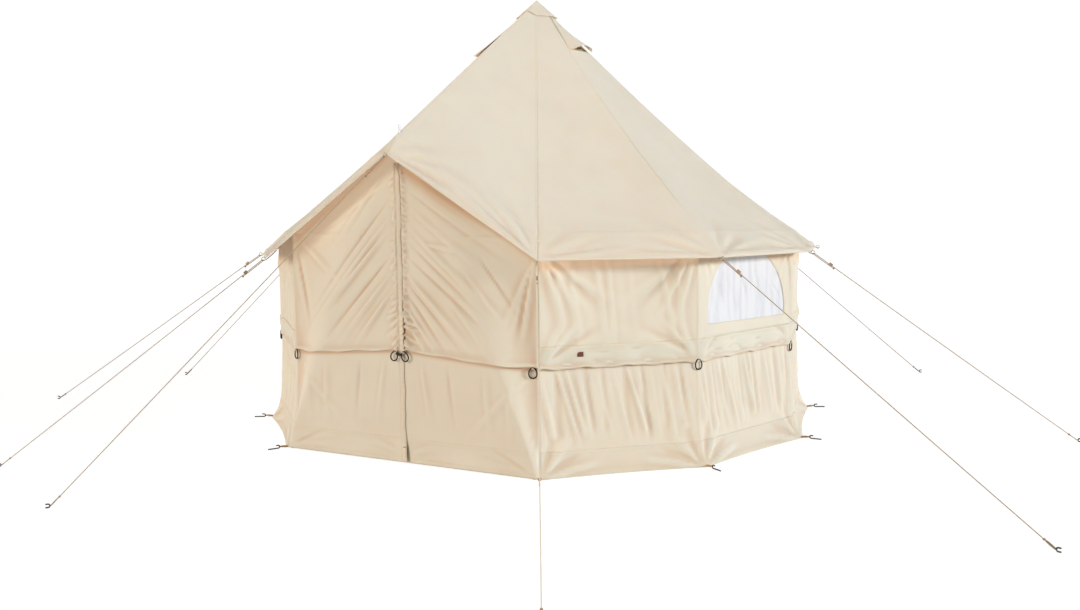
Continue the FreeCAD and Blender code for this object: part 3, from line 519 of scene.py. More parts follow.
def band_folds(panel, x, z, edge):
    """The doubled band just above the waist seam: it bags a little and wrinkles sideways."""
    free = 1 - bell(edge, 0.03)
    height = z - WAIST_Z
    swell = 0.0055 * np.sin(np.pi * np.clip(height / 0.10, 0, 1)) * (1 - 0.35 * np.cos(x * 9 + panel))
    swell += 0.0035 * np.sin(x * 2 * np.pi / 0.19 + 16 * height + panel) * (1 - smooth(height, 0.02, 0.1))
    draw = np.random.RandomState(610 + panel)
    for _ in range(16):
        place, level, run = draw.uniform(-0.34, 0.30), draw.uniform(0.02, 0.08), draw.uniform(0.05, 0.14)
        swell += crease(x, height, (place, level), (place + run, level + draw.uniform(-0.035, 0.02)),
                        draw.uniform(0.004, 0.008), draw.uniform(-0.004, 0.004), 0.4)
    return swell * free


def lower_folds(panel, x, z, edge):
    free = 1 - bell(edge, 0.028)
    lift = 0.0022 * rolling(x, z, 70 + panel, 0.26) * smooth(z, 0.05, 0.2)
    strength = 0.0085 if panel in (0, 3, 5, 8) else 0.0065
    lift += pleats(x, z, 200 + panel, 0.056, 0.22 if panel < 5 else -0.22, WAIST_Z, HEM_Z + 0.005, strength)
    lift += pleats(x, z, 300 + panel, 0.10, 0.10, WAIST_Z, HEM_Z + 0.03, -strength * 0.8)
    for side in (-1, 1):
        for k, (dx, dz, high) in enumerate([(0.30, 0.055, 0.010), (0.22, 0.11, -0.009), (0.17, 0.19, 0.010),
                                            (0.09, 0.26, -0.008)]):
            lift += crease(x, z, (side * 0.375, 0.004), (side * (0.375 - dx), dz), 0.012 + 0.003 * k, high, 0.3)
    scallop = -0.016 * np.cos(np.pi * np.clip(x / 0.75, -0.5, 0.5)) * np.exp(-z / 0.05)
    return lift * free + scallop


def window_outline(count, grow=0.0):
    """Points round a window in panel coordinates, starting and ending at the sill's ends."""
    turn = np.linspace(0, math.pi, count)
    x = (WINDOW_HALF + grow) * np.cos(turn)
    z = WINDOW_SILL - grow + (WINDOW_RISE + 2 * grow) * np.sin(turn) ** 0.85
    return x, z


def in_window(x, z, grow=0.0):
    half, sill, rise = WINDOW_HALF + grow, WINDOW_SILL - grow, WINDOW_RISE + 2 * grow
    arch = sill + rise * np.sqrt(np.clip(1 - (x / half) ** 2, 0, 1)) ** 0.85
    return (np.abs(x) < half) & (z > sill) & (z < arch)


def upper_radius(z):
    share = (z - WAIST_Z) / (WALL_TOP_Z - WAIST_Z)
    return WAIST_R + 0.002 + (WALL_TOP_R - WAIST_R - 0.002) * share


def eave_shade(z):
    """Warm shade on the wall under the eave's edge."""
    below = EAVE_Z - 0.010 - z
    return 0.42 * bell(np.maximum(below, 0), 0.022)


def eave_painted_glow(panel, z):
    """Painted glow that stands in for light through the eave's cloth; it tells most beside the door, where the
    eave's own shadow is deepest.
    """
    return (2.6 if panel == 0 else 0.6) * eave_shade(z)


def panel_point(panel, x, z, lift):
    """A point of the upper wall from its panel coordinates."""
    normal, across, up = panel_axes(panel)
    flat = upper_radius(z) * math.cos(HALF_STEP)
    return normal * (flat + lift)[..., None] + across * x[..., None] + up * z[..., None]


def window_wall(cloth, panel):
    """A wall panel with its window cut out, triangulated round the opening."""
    half = WAIST_R * math.sin(HALF_STEP)
    low, high = WAIST_Z, WALL_TOP_Z
    columns, rows = cells(2 * half), cells(high - low)
    gx, gz = np.meshgrid(np.linspace(-half, half, columns), np.linspace(low, high, rows))
    border = (np.abs(gx) > half - 1e-6) | (gz < low + 1e-6) | (gz > high - 1e-6)
    keep = border | ~in_window(gx, gz, 0.009)
    loose = [(x, z) for x, z in zip(gx[keep], gz[keep])]
    ox, oz = window_outline(90)
    sill = np.linspace(-WINDOW_HALF, WINDOW_HALF, 48)[1:-1]
    ring = list(zip(ox, oz)) + [(x, WINDOW_SILL) for x in sill]
    corner_points = loose + ring
    start = len(loose)
    edges = [(start + k, start + (k + 1) % len(ring)) for k in range(len(ring))]
    flat, _edges, faces, *_rest = delaunay_2d_cdt([Vector(p) for p in corner_points], edges, [], 0, 1e-6)
    flat = np.array([tuple(p) for p in flat])
    kept = []
    for face in faces:
        cx, cz = flat[list(face)].mean(0)
        if not in_window(cx, cz, -0.0004):
            kept.append([k + cloth.count for k in face])
    x, z = flat[:, 0], flat[:, 1]
    edge = half - np.abs(x)
    lift = upper_folds(panel, x, z, edge) * (1 - bell(np.abs(x), 0.36) * 0.3)
    round_window = smooth(np.hypot(x / (WINDOW_HALF + 0.02), (z - 0.76) / 0.26), 0.75, 1.1)
    points = panel_point(panel, x, z, lift * round_window)
    seam = np.minimum(edge, np.abs(z - BAND_TOP))
    cloth.add(under_roof(points), (x + PANEL_UV * panel, z), seam, kept, eave_shade(z), eave_painted_glow(panel, z))


def build_upper_wall():
    cloth = Cloth()
    for panel in range(10):
        if panel in WINDOW_PANELS:
            window_wall(cloth, panel)
            continue
        points, x, z, normal, edge = wall_grid(panel, WAIST_Z, WALL_TOP_Z, upper_radius)
        points = raised(points, normal, upper_folds(panel, x, z, edge))
        cloth.grid(under_roof(points), (x + PANEL_UV * panel, z), edge, shade=eave_shade(z), gain=0.32,
                   glow=eave_painted_glow(panel, z))
    piece = cloth.make("upper_wall_canvas")
    dress(piece, "canvas", CANVAS_SEWN, "upper_walls", "window_walls")


def band_radius(z):
    return upper_radius(z) + 0.0008


def build_waist_band():
    """The band above the waist, whose free lower edge hangs over the lower wall."""
    cloth = Cloth()
    for panel in range(10):
        points, x, z, normal, edge = wall_grid(panel, BAND_FOOT, BAND_TOP, band_radius)
        lift = band_folds(panel, x, z, edge) + upper_folds(panel, x, z, edge) * smooth(z, WAIST_Z, WAIST_Z + 0.09)
        lift += 0.004 * (1 - smooth(z, BAND_FOOT, WAIST_Z + 0.01))
        wave = 0.0035 * np.sin(x * 2 * np.pi / 0.21 + 1.7 * panel) + 0.002 * np.sin(x * 2 * np.pi / 0.093 + panel)
        points = raised(points, normal, lift)
        points[..., 2] += wave * (1 - smooth(z, BAND_FOOT, WAIST_Z + 0.03)) * (edge > 0.001)
        seam = nearest(edge, np.abs(z - WAIST_Z - 0.083), np.abs(z - WAIST_Z + 0.002))
        cloth.grid(points, (x + PANEL_UV * panel, z), seam)
    piece = cloth.make("waist_band_canvas", 0.0010)
    dress(piece, "canvas_trim", CANVAS_SEWN, "waist_band")


TAG_X, TAG_Z, TAG_WIDE, TAG_TALL = -0.186, WAIST_Z + 0.052, 0.028, 0.021


def build_tag():
    """A small plain tag sewn on the waist band, beside the door."""
    out, across, up = panel_axes(0)
    flat = (WAIST_R + 0.002) * math.cos(HALF_STEP)
    s, t = span(13, 11)
    x, z = TAG_X + TAG_WIDE * (s - 0.5), TAG_Z + TAG_TALL * (t - 0.5)
    edge = 0.35 - np.abs(x)
    lift = band_folds(0, x, z, edge) + 0.0032 + 0.0012 * np.sin(np.pi * s) - 0.001 * (t - 0.5)
    points = out * (flat + lift)[..., None] + across * x[..., None] + up * z[..., None]
    cloth = Cloth()
    rim = nearest(s * TAG_WIDE, (1 - s) * TAG_WIDE, t * TAG_TALL, (1 - t) * TAG_TALL)
    cloth.grid(points, (x, z), rim)
    piece = cloth.make("waist_tag", 0.0012, join=False)
    dress(piece, "canvas_trim", TAG)


def build_lower_wall():
    wall, hem = Cloth(), Cloth()
    for panel in range(10):
        points, x, z, normal, edge = wall_grid(panel, 0.002, WAIST_Z + 0.012, lower_corner_radius)
        points = raised(points, normal, lower_folds(panel, x, z, edge))
        # Painted shade just under the waist band's free edge.
        shade = 0.9 * bell(np.maximum(WAIST_Z - 0.008 - z, 0), 0.008)
        wall.grid(points, (x + PANEL_UV * panel, z), edge, shade=shade, gain=0.32)
        points, x, z, normal, edge = wall_grid(panel, 0.001, HEM_Z, lower_corner_radius)
        points = raised(points, normal, lower_folds(panel, x, z, edge) + 0.0010)
        seam = nearest(edge, np.abs(z - HEM_Z + 0.008), np.abs(z - STITCH_LINE))
        hem.grid(points, (x + PANEL_UV * panel, z), seam)
    piece = wall.make("lower_wall_canvas")
    dress(piece, "canvas", CANVAS_SEWN, "lower_walls")
    band = hem.make("hem_canvas", 0.0014)
    dress(band, "canvas_trim", CANVAS_SEWN, "hem_band")


def build_windows():
    film = Cloth()
    for panel in WINDOW_PANELS:
        s, t = span(61, 45)
        u = 2 * s - 1
        arch = np.sqrt(np.clip(1 - u * u, 0, 1)) ** 0.85
        x = u * (WINDOW_HALF + 0.004)
        z = WINDOW_SILL - 0.004 + t * (WINDOW_RISE + 0.008) * arch
        slack = np.sin(np.pi * t) * arch
        lift = -0.0006 + 0.0020 * (rolling(x, z, 500 + panel, 0.16) - 1) * slack
        draw = np.random.RandomState(77 + panel)
        for k in range(17):
            place = draw.uniform(-0.26, 0.24)
            lean = draw.uniform(0.10, 0.26)
            top = WINDOW_SILL + draw.uniform(0.16, 0.33)
            lift += crease(x, z, (place, top), (place + lean * 0.6, WINDOW_SILL + draw.uniform(0.0, 0.07)),
                           draw.uniform(0.005, 0.010), draw.uniform(-0.009, 0.004), 0.45) * slack
        points = under_roof(panel_point(panel, x, z, lift))
        film.grid(points, (x + panel, z), np.full(x.shape, 0.05))
    pane = film.make("window_film", 0.0006)
    dress(pane, "window_film", FILM, "window_panes")


# ---------------------------------------------------------------- door


def fold_x(z):
    """Half the doorway's width at a height, where a leaf folds."""
    return DOOR_HALF * (1 - z / PEAK_Z)


def door_edge(z):
    """The outer edge of a door half, at the wall corner and then under the roof: its x and y."""
    corner = np.where(z < WAIST_Z, lower_corner_radius(z), upper_radius(z))
    out_x, out_y, _level = around(DOOR_ANGLE, 1.0, 0)
    top_x, top_y = WALL_TOP_R * out_x, WALL_TOP_R * out_y
    share = np.clip((PEAK_Z - 0.016 - z) / (PEAK_Z - WALL_TOP_Z), 0, 1)
    return (np.where(z < WALL_TOP_Z, corner * out_x, top_x * share),
            np.where(z < WALL_TOP_Z, corner * out_y, -DOOR_Y + (top_y + DOOR_Y) * share))


RIGHT_FOLDS = [  # x and z of the start and of the end, width, height: the pulls across the right half
    (0.05, 1.33, 0.62, 0.98, 0.014, 0.003), (0.03, 1.27, 0.60, 0.90, 0.012, -0.003),
    (0.03, 1.20, 0.58, 0.80, 0.014, 0.003), (0.02, 1.12, 0.62, 0.60, 0.012, 0.004),
    (0.02, 1.05, 0.60, 0.56, 0.010, -0.003), (0.02, 0.98, 0.62, 0.50, 0.012, -0.004),
    (0.02, 0.90, 0.42, 0.50, 0.011, 0.006), (0.02, 0.86, 0.36, 0.50, 0.009, -0.004),
    (0.03, 0.80, 0.26, 0.50, 0.010, -0.005), (0.02, 0.74, 0.21, 0.50, 0.008, 0.005),
    (0.02, 0.68, 0.15, 0.50, 0.008, 0.005), (0.66, 0.96, 0.50, 0.60, 0.011, 0.003),
    (0.66, 1.00, 0.57, 0.55, 0.011, -0.004),
    (0.665, 0.98, 0.60, 0.56, 0.010, 0.007), (0.66, 0.98, 0.56, 0.62, 0.009, 0.004),
    (0.30, 0.96, 0.58, 0.58, 0.009, 0.003), (0.40, 0.98, 0.62, 0.66, 0.008, -0.003),
    (0.24, 0.80, 0.48, 0.52, 0.008, 0.003), (0.14, 1.02, 0.36, 0.98, 0.010, 0.003)]
LEFT_FOLDS = [
    (0.04, 1.38, 0.45, 0.92, 0.012, 0.004), (0.03, 1.24, 0.60, 0.62, 0.012, -0.004),
    (0.03, 1.16, 0.60, 0.54, 0.010, 0.005), (0.03, 1.10, 0.62, 0.52, 0.011, 0.006),
    (0.03, 0.98, 0.50, 0.50, 0.010, -0.005), (0.03, 0.90, 0.40, 0.50, 0.010, 0.004),
    (0.03, 0.82, 0.30, 0.50, 0.009, 0.005), (0.64, 1.02, 0.30, 0.80, 0.012, 0.004),
    (0.66, 1.00, 0.55, 0.58, 0.010, -0.005), (0.05, 1.30, 0.55, 1.02, 0.010, 0.003)]
LOWER_FOLDS = [
    (0.68, 0.02, 0.30, 0.07, 0.011, 0.003), (0.68, 0.02, 0.42, 0.14, 0.010, -0.003),
    (0.66, 0.46, 0.30, 0.12, 0.012, 0.003), (0.10, 0.50, 0.16, 0.12, 0.012, 0.003),
    (0.24, 0.49, 0.28, 0.14, 0.010, -0.003), (0.44, 0.48, 0.46, 0.12, 0.011, 0.003),
    (0.56, 0.47, 0.56, 0.10, 0.009, 0.003), (0.03, 0.05, 0.20, 0.10, 0.009, 0.004)]


def door_waist(x):
    """The waist seam's height at a distance from the zip: it rises from the wall corner to the zip."""
    return WAIST_Z + (DOOR_RISE + 0.010) * (1 - np.clip(np.asarray(x) / DOOR_REACH, 0, 1))


# Painted shadow of the awning on each door half, by side: level at the zip, fall away from it, strength and fading
# depth.
AWNING_LINE = {1: (1.376, 0.600, 0.95, 0.032), -1: (1.452, 0.668, 0.55, 0.012)}
PAINTED_GLOW_LINE = (1.400, 0.668, 0.95, 0.050)  # level at the zip, fall away from it, strength and fading depth, as above


def below_line(x, z, level, fall):
    """How far a point of the door lies below a line that falls away from the zip."""
    return np.maximum(level - fall * x - z, 0)


def awning_shade(side, x, z):
    """Warm shade on a door half, above its awning line."""
    level, fall, strength, depth = AWNING_LINE[side]
    return strength * bell(below_line(x, z, level, fall), depth * (1 + 0.35 * np.sin(x * 9)))


def awning_painted_glow(x, z):
    """Painted glow that stands in for light through the awning, on the left half."""
    level, fall, strength, depth = PAINTED_GLOW_LINE
    return strength * bell(below_line(x, z, level, fall), depth)


def door_surface(side, x, z, upper):
    """Door cloth at a distance from the zip: its plane, then back to the wall corner, with its folds."""
    edge_x, edge_y = door_edge(z)
    fold = np.minimum(fold_x(z), edge_x * 0.98)
    back = smooth((x - fold) / np.maximum(edge_x - fold, 0.004), 0.0, 1.0)
    y = -DOOR_Y + (edge_y + DOOR_Y) * back
    hold = (1 - bell(edge_x - x, 0.03)) * (1 - bell(x, 0.05) * 0.5)
    lift = 0.0035 * rolling(x, z, 900 + side, 0.34)
    for x0, z0, x1, z1, width, high in (RIGHT_FOLDS if side > 0 else LEFT_FOLDS) if upper else LOWER_FOLDS:
        lift = lift + crease(x, z, (x0, z0), (x1, z1), width, high, 0.3)
    ruffle = np.zeros_like(x)
    if upper:
        draw = np.random.RandomState(31 + side)
        level = 0.53
        while level < 1.37:
            deep = 1.0 + 0.9 * bell(level - 0.64, 0.11)
            run, fall = draw.uniform(0.032, 0.060) * deep, draw.uniform(0.014, 0.040) * deep
            ruffle += crease(x, z, (-0.004, level + 0.006), (run, level - fall), draw.uniform(0.0048, 0.0090),
                             draw.uniform(0.006, 0.014) * deep, 0.2, 0.35)
            level += draw.uniform(0.015, 0.036)
        ruffle *= 1.0 if side > 0 else 0.45
        lift = lift + 0.006 * bell(z - door_waist(x) + 0.012, 0.02)
    clear = smooth(x, 0.013, 0.023) if upper else 1.0  # the slider runs along the edge
    lift = (lift * hold + ruffle) * smooth(z, 0.0, 0.03) * clear
    return np.stack([side * x, y - lift - (0.0012 + 0.0028 * clear if upper else 0.0), z], -1)


def build_door_half(side, name):
    top = PEAK_Z - 0.030
    for part, upper in (("upper", True), ("lower", False)):
        tall = top - WAIST_Z if upper else WAIST_Z + DOOR_RISE
        s, t = span(cells(DOOR_HALF) + 10, cells(tall, DOOR_CELL if upper else CELL))
        waist = door_waist(DOOR_REACH * s ** 1.5)
        low, high = (waist - 0.006, top) if upper else (0.003, waist + 0.012)
        z = low + (high - low) * t
        edge_x, _edge_y = door_edge(z)
        x = 0.0008 + (edge_x - 0.0008) * s ** 1.5
        if upper:
            z = z + 0.003 * np.sin(x * 31) * (1 - t) ** 8
        points = door_surface(side, x, z, upper)
        rows = [np.abs(z - door_waist(x) + 0.002)] if upper else [np.abs(z - HEM_Z), np.abs(z - STITCH_LINE)]
        seam = nearest(edge_x - x, x, *rows)
        # Painted shade: on the upper half under the awning, on the lower half just under the waist seam.
        shade = awning_shade(side, x, z) if upper else bell(waist - 0.010 - z, 0.010)
        cloth = Cloth()
        glow = awning_painted_glow(x, z) if upper and side < 0 else np.zeros_like(x)
        points, x, z, seam, shade, glow = (part[:, ::side] for part in (points, x, z, seam, shade, glow))
        cloth.grid(points, (x, z), seam, shade=shade, gain=0.75 if upper else 0.4, glow=glow)
        piece = cloth.make(f"door_{name}_{part}")
        gone = (f"door_leaf_{name}", "door_gussets") if upper else (f"door_leaf_{name}",)
        finish_cloth(piece, "canvas", CANVAS_SEWN, *gone)
        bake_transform(piece)


FLAP_LEFT, FLAP_WIDTH = -0.019, 0.0310


def build_storm_flap():
    """The strip that covers the zip: it hangs on the left leaf with a loose, wavy edge at the zip."""
    cloth = Cloth()
    low, high = 0.012, PEAK_Z - 0.128
    s, t = span(11, cells(high - low, DOOR_CELL))
    z = low + (high - low) * t
    wave = 0.0020 * np.sin(z * 23) + 0.0014 * np.sin(z * 57 + 1)
    open_part = bell(z - 0.62, 0.09)
    foot = 1 - smooth(z, 0.055, 0.12)
    front = -DOOR_Y - min(float(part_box(name)[0][1]) for name in ("zip_slider", "zip_pull"))
    taper = 1 - 0.55 * smooth(z, high - 0.07, high)
    x = FLAP_LEFT + wave + (FLAP_WIDTH + 0.007 * open_part + 0.008 * foot) * s * taper
    waist = float(door_waist(0.0))
    sides = []
    for side in (-1, 1):
        away = np.maximum(side * x, 0.0)
        leaf, lower = door_surface(side, away, z, True)[..., 1], door_surface(side, away, z, False)[..., 1]
        sides.append(lower + (leaf - lower) * smooth(z, waist - 0.04, waist - 0.005))
    back = np.where(x < 0, sides[0], np.minimum(sides[0], sides[1]))
    lift = 0.0016 + 0.0016 * np.sin(np.pi * s) + 0.006 * open_part * s ** 2
    lift = lift + foot * np.maximum(front + 0.002 - lift, 0) * smooth(s, 0.1, 0.5)
    lift += (0.0006 + 0.002 * open_part) * s * (1 + np.sin(z * 230 + 3 * np.sin(z * 31)))
    points = np.stack([x, back - lift, z], -1)
    seam = np.minimum(s, 1 - s) * 0.026 + 0.003
    # Painted shade along both long edges of the flap, darkest at its free edge.
    cloth.grid(points, (x, z), seam, shade=0.45 * s ** 4 + 0.30 * (1 - s) ** 4)
    piece = cloth.make("storm_flap_canvas", 0.0014)
    dress(piece, "canvas_trim", CANVAS_SEWN, "storm_flap", body="door_left")


TAPE_WIDE, TOOTH_STEP = 0.023, 0.0042


def build_zip():
    """Zip tapes with their rows of coil teeth."""
    for side, name in ((-1, "left"), (1, "right")):
        low, high = 0.012, PEAK_Z - 0.13
        s, t = span(4, 60)
        x = side * (0.0012 + TAPE_WIDE * s)
        z = low + (high - low) * t
        cloth = Cloth()
        grid = np.stack([x, np.full(x.shape, -DOOR_Y + 0.0022), z], -1)
        cloth.grid(grid, (x, z), np.abs(np.abs(x) - 0.012))
        tape = cloth.make(f"zip_tape_{name}_web", 0.0008)
        dress(tape, "zip_tape", TAPE, f"zip_tape_{name}", body=f"door_{name}")
        points, faces = [], []
        level = low
        while level < high:
            ring = [(0.0002, -0.001), (0.0042, -0.0012), (0.0042, 0.0012), (0.0002, 0.001)]
            start = len(points)
            for depth in (-0.0012, 0.0012):
                for dx, dz in ring:
                    squeeze = 0.8 if dx > 0.001 else 1.25
                    points.append((side * dx, -DOOR_Y + 0.0010 + depth * squeeze, level + dz * squeeze))
            faces += [tuple(start + k for k in quad) for quad in
                      ((0, 1, 2, 3), (7, 6, 5, 4), (0, 4, 5, 1), (1, 5, 6, 2), (2, 6, 7, 3), (3, 7, 4, 0))]
            level += TOOTH_STEP
        teeth = new_object(f"zip_teeth_{name}", points, faces)
        dress(teeth, "zip_tape", TEETH, body=f"door_{name}")


# ---------------------------------------------------------------- tubes, loops, straps


def skin(count, sides, closed=False):
    """Faces over a row of rings of points, with an end cap at each end unless the row closes on itself."""
    faces = [(k * sides + m, k * sides + (m + 1) % sides, (k + 1) % count * sides + (m + 1) % sides,
              (k + 1) % count * sides + m) for k in range(count if closed else count - 1) for m in range(sides)]
    return faces if closed else faces + [tuple(range(sides))[::-1], tuple(range((count - 1) * sides, count * sides))]


def tube_mesh(path, radius, closed=False, sides=10):
    """Points and faces of a round tube along a path."""
    path = np.asarray(path, float)
    count = len(path)
    points = []
    for k in range(count):
        before = path[(k - 1) % count] if closed or k else path[0]
        after = path[(k + 1) % count] if closed or k < count - 1 else path[-1]
        forward = unit(after - before)
        side = unit(np.cross(forward, [0.13, 0.31, 0.94]))
        other = np.cross(forward, side)
        for m in range(sides):
            turn = 2 * math.pi * m / sides
            points.append(path[k] + radius * (math.cos(turn) * side + math.sin(turn) * other))
    return points, skin(count, sides, closed)


class Lump:
    """Collects several closed solids into one mesh."""

    def __init__(self):
        self.points, self.faces = [], []

    def add(self, points, faces):
        start = len(self.points)
        self.points += [tuple(p) for p in points]
        self.faces += [tuple(start + k for k in face) for face in faces]

    def tube(self, *path_and_radius):
        self.add(*tube_mesh(*path_and_radius))

    def make(self, name):
        return new_object(name, self.points, self.faces)


def hanging_loop(centre, angle, wide, tall, tilt=0.0):
    """The centreline of an elastic loop that hangs against the wall."""
    _out, across, up = wall_axes(angle)
    turn = np.linspace(0, 2 * math.pi, 37)[:-1]
    x = wide / 2 * np.sin(turn) * (1.10 - 0.32 * (np.cos(turn) + 1) / 2)
    z = tall / 2 * np.cos(turn)
    leaned = x * math.cos(tilt) - z * math.sin(tilt), x * math.sin(tilt) + z * math.cos(tilt)
    return centre + leaned[0][:, None] * across + leaned[1][:, None] * up


def strap(lump, path, across, width, thick):
    """A flat strap of webbing along a path, square in section with softened edges."""
    path = [np.asarray(p, float) for p in path]
    across = np.asarray(across, float)
    ring = []
    section = [(-0.5, -0.3), (-0.42, -0.5), (0.42, -0.5), (0.5, -0.3),
               (0.5, 0.3), (0.42, 0.5), (-0.42, 0.5), (-0.5, 0.3)]
    for k, place in enumerate(path):
        normal = unit(np.cross(path[min(k + 1, len(path) - 1)] - path[max(k - 1, 0)], across))
        ring += [place + across * width * u + normal * thick * v for u, v in section]
    lump.add(ring, skin(len(path), len(section)))


LOOP_WIDE, LOOP_TALL, LOOP_RADIUS = 0.038, 0.047, 0.0030
TAB_WIDE = 0.012


def build_waist_loops():
    level = WAIST_Z - 0.024
    elastic, tabs = Lump(), Lump()
    for k, angle in enumerate(CORNERS):
        out, across, up = wall_axes(angle)
        stand = lower_corner_radius(np.array(level - 0.022)) + 0.0045
        centre = around(angle, float(stand), level)
        if k == 0:
            centre = centre + np.array([-0.026, -0.005, 0.0])
        elastic.tube(hanging_loop(centre, angle, LOOP_WIDE, LOOP_TALL, 0.10 * math.sin(2.4 * k)), LOOP_RADIUS, True)
        top = centre + up * 0.0195
        strap(tabs, [top + up * 0.016 - out * 0.003, top + up * 0.004 + out * 0.001, top - up * 0.002 + out * 0.0022,
                     top - up * 0.003 - out * 0.001], across, TAB_WIDE, 0.0014)
    dress(elastic.make("waist_loop_elastic"), "elastic", ELASTIC, "waist_loops")
    dress(tabs.make("waist_loop_tabs"), "canvas_trim", WHITE_TAPE)
    level += DOOR_RISE
    for side, name, place in ((-1, "left", -0.034), (1, "right", 0.024)):
        middle = np.array([place, -DOOR_Y - 0.016, level])
        cord, tab = Lump(), Lump()
        cord.tube(hanging_loop(middle, 0, LOOP_WIDE, LOOP_TALL - 0.001, 0.45 * side), LOOP_RADIUS, True)
        dress(cord.make(f"door_loop_{name}_elastic"), "elastic", ELASTIC, f"door_loop_{name}", body=f"door_{name}")
        top = middle + np.array([-0.008 * side, 0, 0.0185])
        strap(tab, [top + [0, 0.012, 0.016], top + [0, -0.001, 0.004], top + [0, -0.0032, -0.002],
                    top + [0, 0.002, -0.004]], [1, 0, 0], TAB_WIDE, 0.0016)
        dress(tab.make(f"door_loop_{name}_tab"), "canvas_trim", WHITE_TAPE, body=f"door_{name}")
    barrel = Lump()
    heart = np.array([-0.009, -DOOR_Y - 0.019, level + 0.010])
    for reach, width in ((0.0, 0.0050), (0.006, 0.0062), (-0.006, 0.0062)):
        ring = [heart + [reach - 0.0045, 0, -reach * 0.3], heart + [reach, 0, -reach * 0.3],
                heart + [reach + 0.0045, 0, -reach * 0.3]]
        barrel.tube(ring, width, False, 14)
    dress(barrel.make("door_toggle_barrel"), "toggle_plastic", BLACK_PLASTIC, "door_toggle", body="door_left")


# ---------------------------------------------------------------- guy lines, pegs

GUY_LINES = [  # name, wall corner (0 is the awning's tip), peg angle, peg distance
    ("door", 0, -18.8, 2.716), ("front_right", 1, 28.6, 3.150), ("right_front", 2, 63.9, 3.098),
    ("right", 3, 99.6, 2.752), ("back_right", 5, 142.6, 2.700), ("back", 6, 180, 2.750),
    ("back_left", 7, 213, 2.750), ("left", 9, 269.4, 2.736), ("left_front", 10, 288.4, 2.963),
    ("front_left", 11, 323.1, 2.763)]
RING_CLEAR = 0.0108
GUY_RADIUS = 0.002
RUNNER_START, RUNNER_LENGTH, RUNNER_PITCH = 0.085, 0.018, 0.006


def roof_corner(corner):
    """Angle and radius of a roof corner, and how far it sits off the regular plan; 0 is the awning's tip."""
    angle = CORNERS[corner - 1] if corner else 0
    return angle, EAVE_R if corner else TIP_R, np.array(EAVE_NUDGE.get(round(angle), (0, 0, 0)))


def ring_centre(corner):
    """The centre of an eave ring; beside the door, at corner 1, the ring keeps to the regular plan."""
    angle, edge, nudge = roof_corner(corner)
    return ridge(angle, edge) + around(angle, RING_CLEAR, -0.002) + nudge * (corner != 1)


def guy_run(corner, angle, distance):
    """The ends of a guy line's straight stretch, as part of the frame has them."""
    ring, peg = ring_centre(corner), around(angle, distance, 0)
    inward = unit(np.array([ring[0] - peg[0], ring[1] - peg[1], 0]))
    low = peg + inward * 0.0045 + np.array([0, 0, 0.010])
    run = unit(low - ring)
    return ring + run * RING_CLEAR, low, run


def cord_curve(name, points, radius):
    curve = bpy.data.curves.new(name, "CURVE")
    curve.dimensions = "3D"
    curve.bevel_depth = radius
    curve.bevel_resolution = 3
    curve.use_fill_caps = True
    line = curve.splines.new("NURBS")
    line.points.add(len(points) - 1)
    for place, point in zip(line.points, points):
        place.co = (*point, 1)
    line.order_u = 3
    line.use_endpoint_u = True
    return link(bpy.data.objects.new(name, curve))


def taut_cord(name, points, length, material, *gone):
    """A taut cord between its first and last point; the length argument is not used."""
    line = cord_curve(name, points, GUY_RADIUS)
    dress(line, "guy_cord", material, *gone)


def build_guys():
    webbing, knots = Lump(), Lump()
    tail = RUNNER_START + RUNNER_LENGTH + 0.012
    for name, corner, angle, distance in GUY_LINES:
        colour = PALE_CORD if name == "front_right" else CORD
        high, low, run = guy_run(corner, angle, distance)
        middle = (high + low) / 2 + np.array([0, 0, -0.004])
        taut_cord(f"guy_{name}_cord", [high, middle, low], float(np.linalg.norm(low - high)), colour, f"guy_{name}")
        down = np.cross(unit(np.cross([0, 0, -1], run)), run)
        down *= -1 if down[2] > 0 else 1
        begin = high + down * RUNNER_PITCH
        stop = begin + run * tail
        gone = ["guy_returns"] if name == "door" else []
        taut_cord(f"guy_{name}_return", [begin, (begin + stop) / 2 + down * 0.0004, stop], tail, colour, *gone)
        knot(knots, stop + run * 0.001, run, 0.0032)
        turn_round_ring(knots, high, begin, run)
        peg_turn(knots, low, run)
        eave_strap(webbing, corner)
    for corner in (4, 8):  # these have no guy line
        eave_strap(webbing, corner)
    dress(webbing.make("eave_straps"), "guy_cord", CREAM_WEBBING)
    dress(knots.make("guy_knots"), "guy_cord", CORD)


def knot(lump, centre, axis, size):
    """A small overhand knot: a few turns wound on each other."""
    side = unit(np.cross(axis, [0.2, 0.1, 0.97]))
    other = np.cross(axis, side)
    turn = np.linspace(0, 4.6 * math.pi, 44)
    swell = size * (0.55 + 0.6 * np.sin(np.linspace(0, math.pi, 44)))
    path = centre + (axis * np.linspace(-size, size, 44)[:, None] + swell[:, None] * (
        np.cos(turn)[:, None] * side + np.sin(turn)[:, None] * other))
    lump.tube(path, GUY_RADIUS * 0.85, False, 8)


def turn_round_ring(lump, first, second, run):
    """The cord's bend through the ring, joining its two strands."""
    back = -run
    middle = (first + second) / 2
    half = (second - first) / 2
    reach = np.linalg.norm(half)
    turn = np.linspace(0, math.pi, 15)
    path = middle - half * np.cos(turn)[:, None] + back * (reach * 1.25 * np.sin(turn))[:, None]
    lump.tube(path, GUY_RADIUS, False, 8)


def peg_turn(lump, low, run):
    """The loop at a guy line's foot, round its peg, closed by a small knot."""
    side = unit(np.cross(UP, run))
    path = []
    for angle in np.linspace(0, 2 * math.pi, 41)[:-1]:
        place = low - run * 0.045 + run * (0.052 * (1 - math.cos(angle)) / 2)
        path.append(place + side * 0.0062 * math.sin(angle) + np.array([0, 0, 0.0005]))
    lump.tube(path, GUY_RADIUS * 0.9, True, 8)
    knot(lump, low - run * 0.048, run, 0.0034)


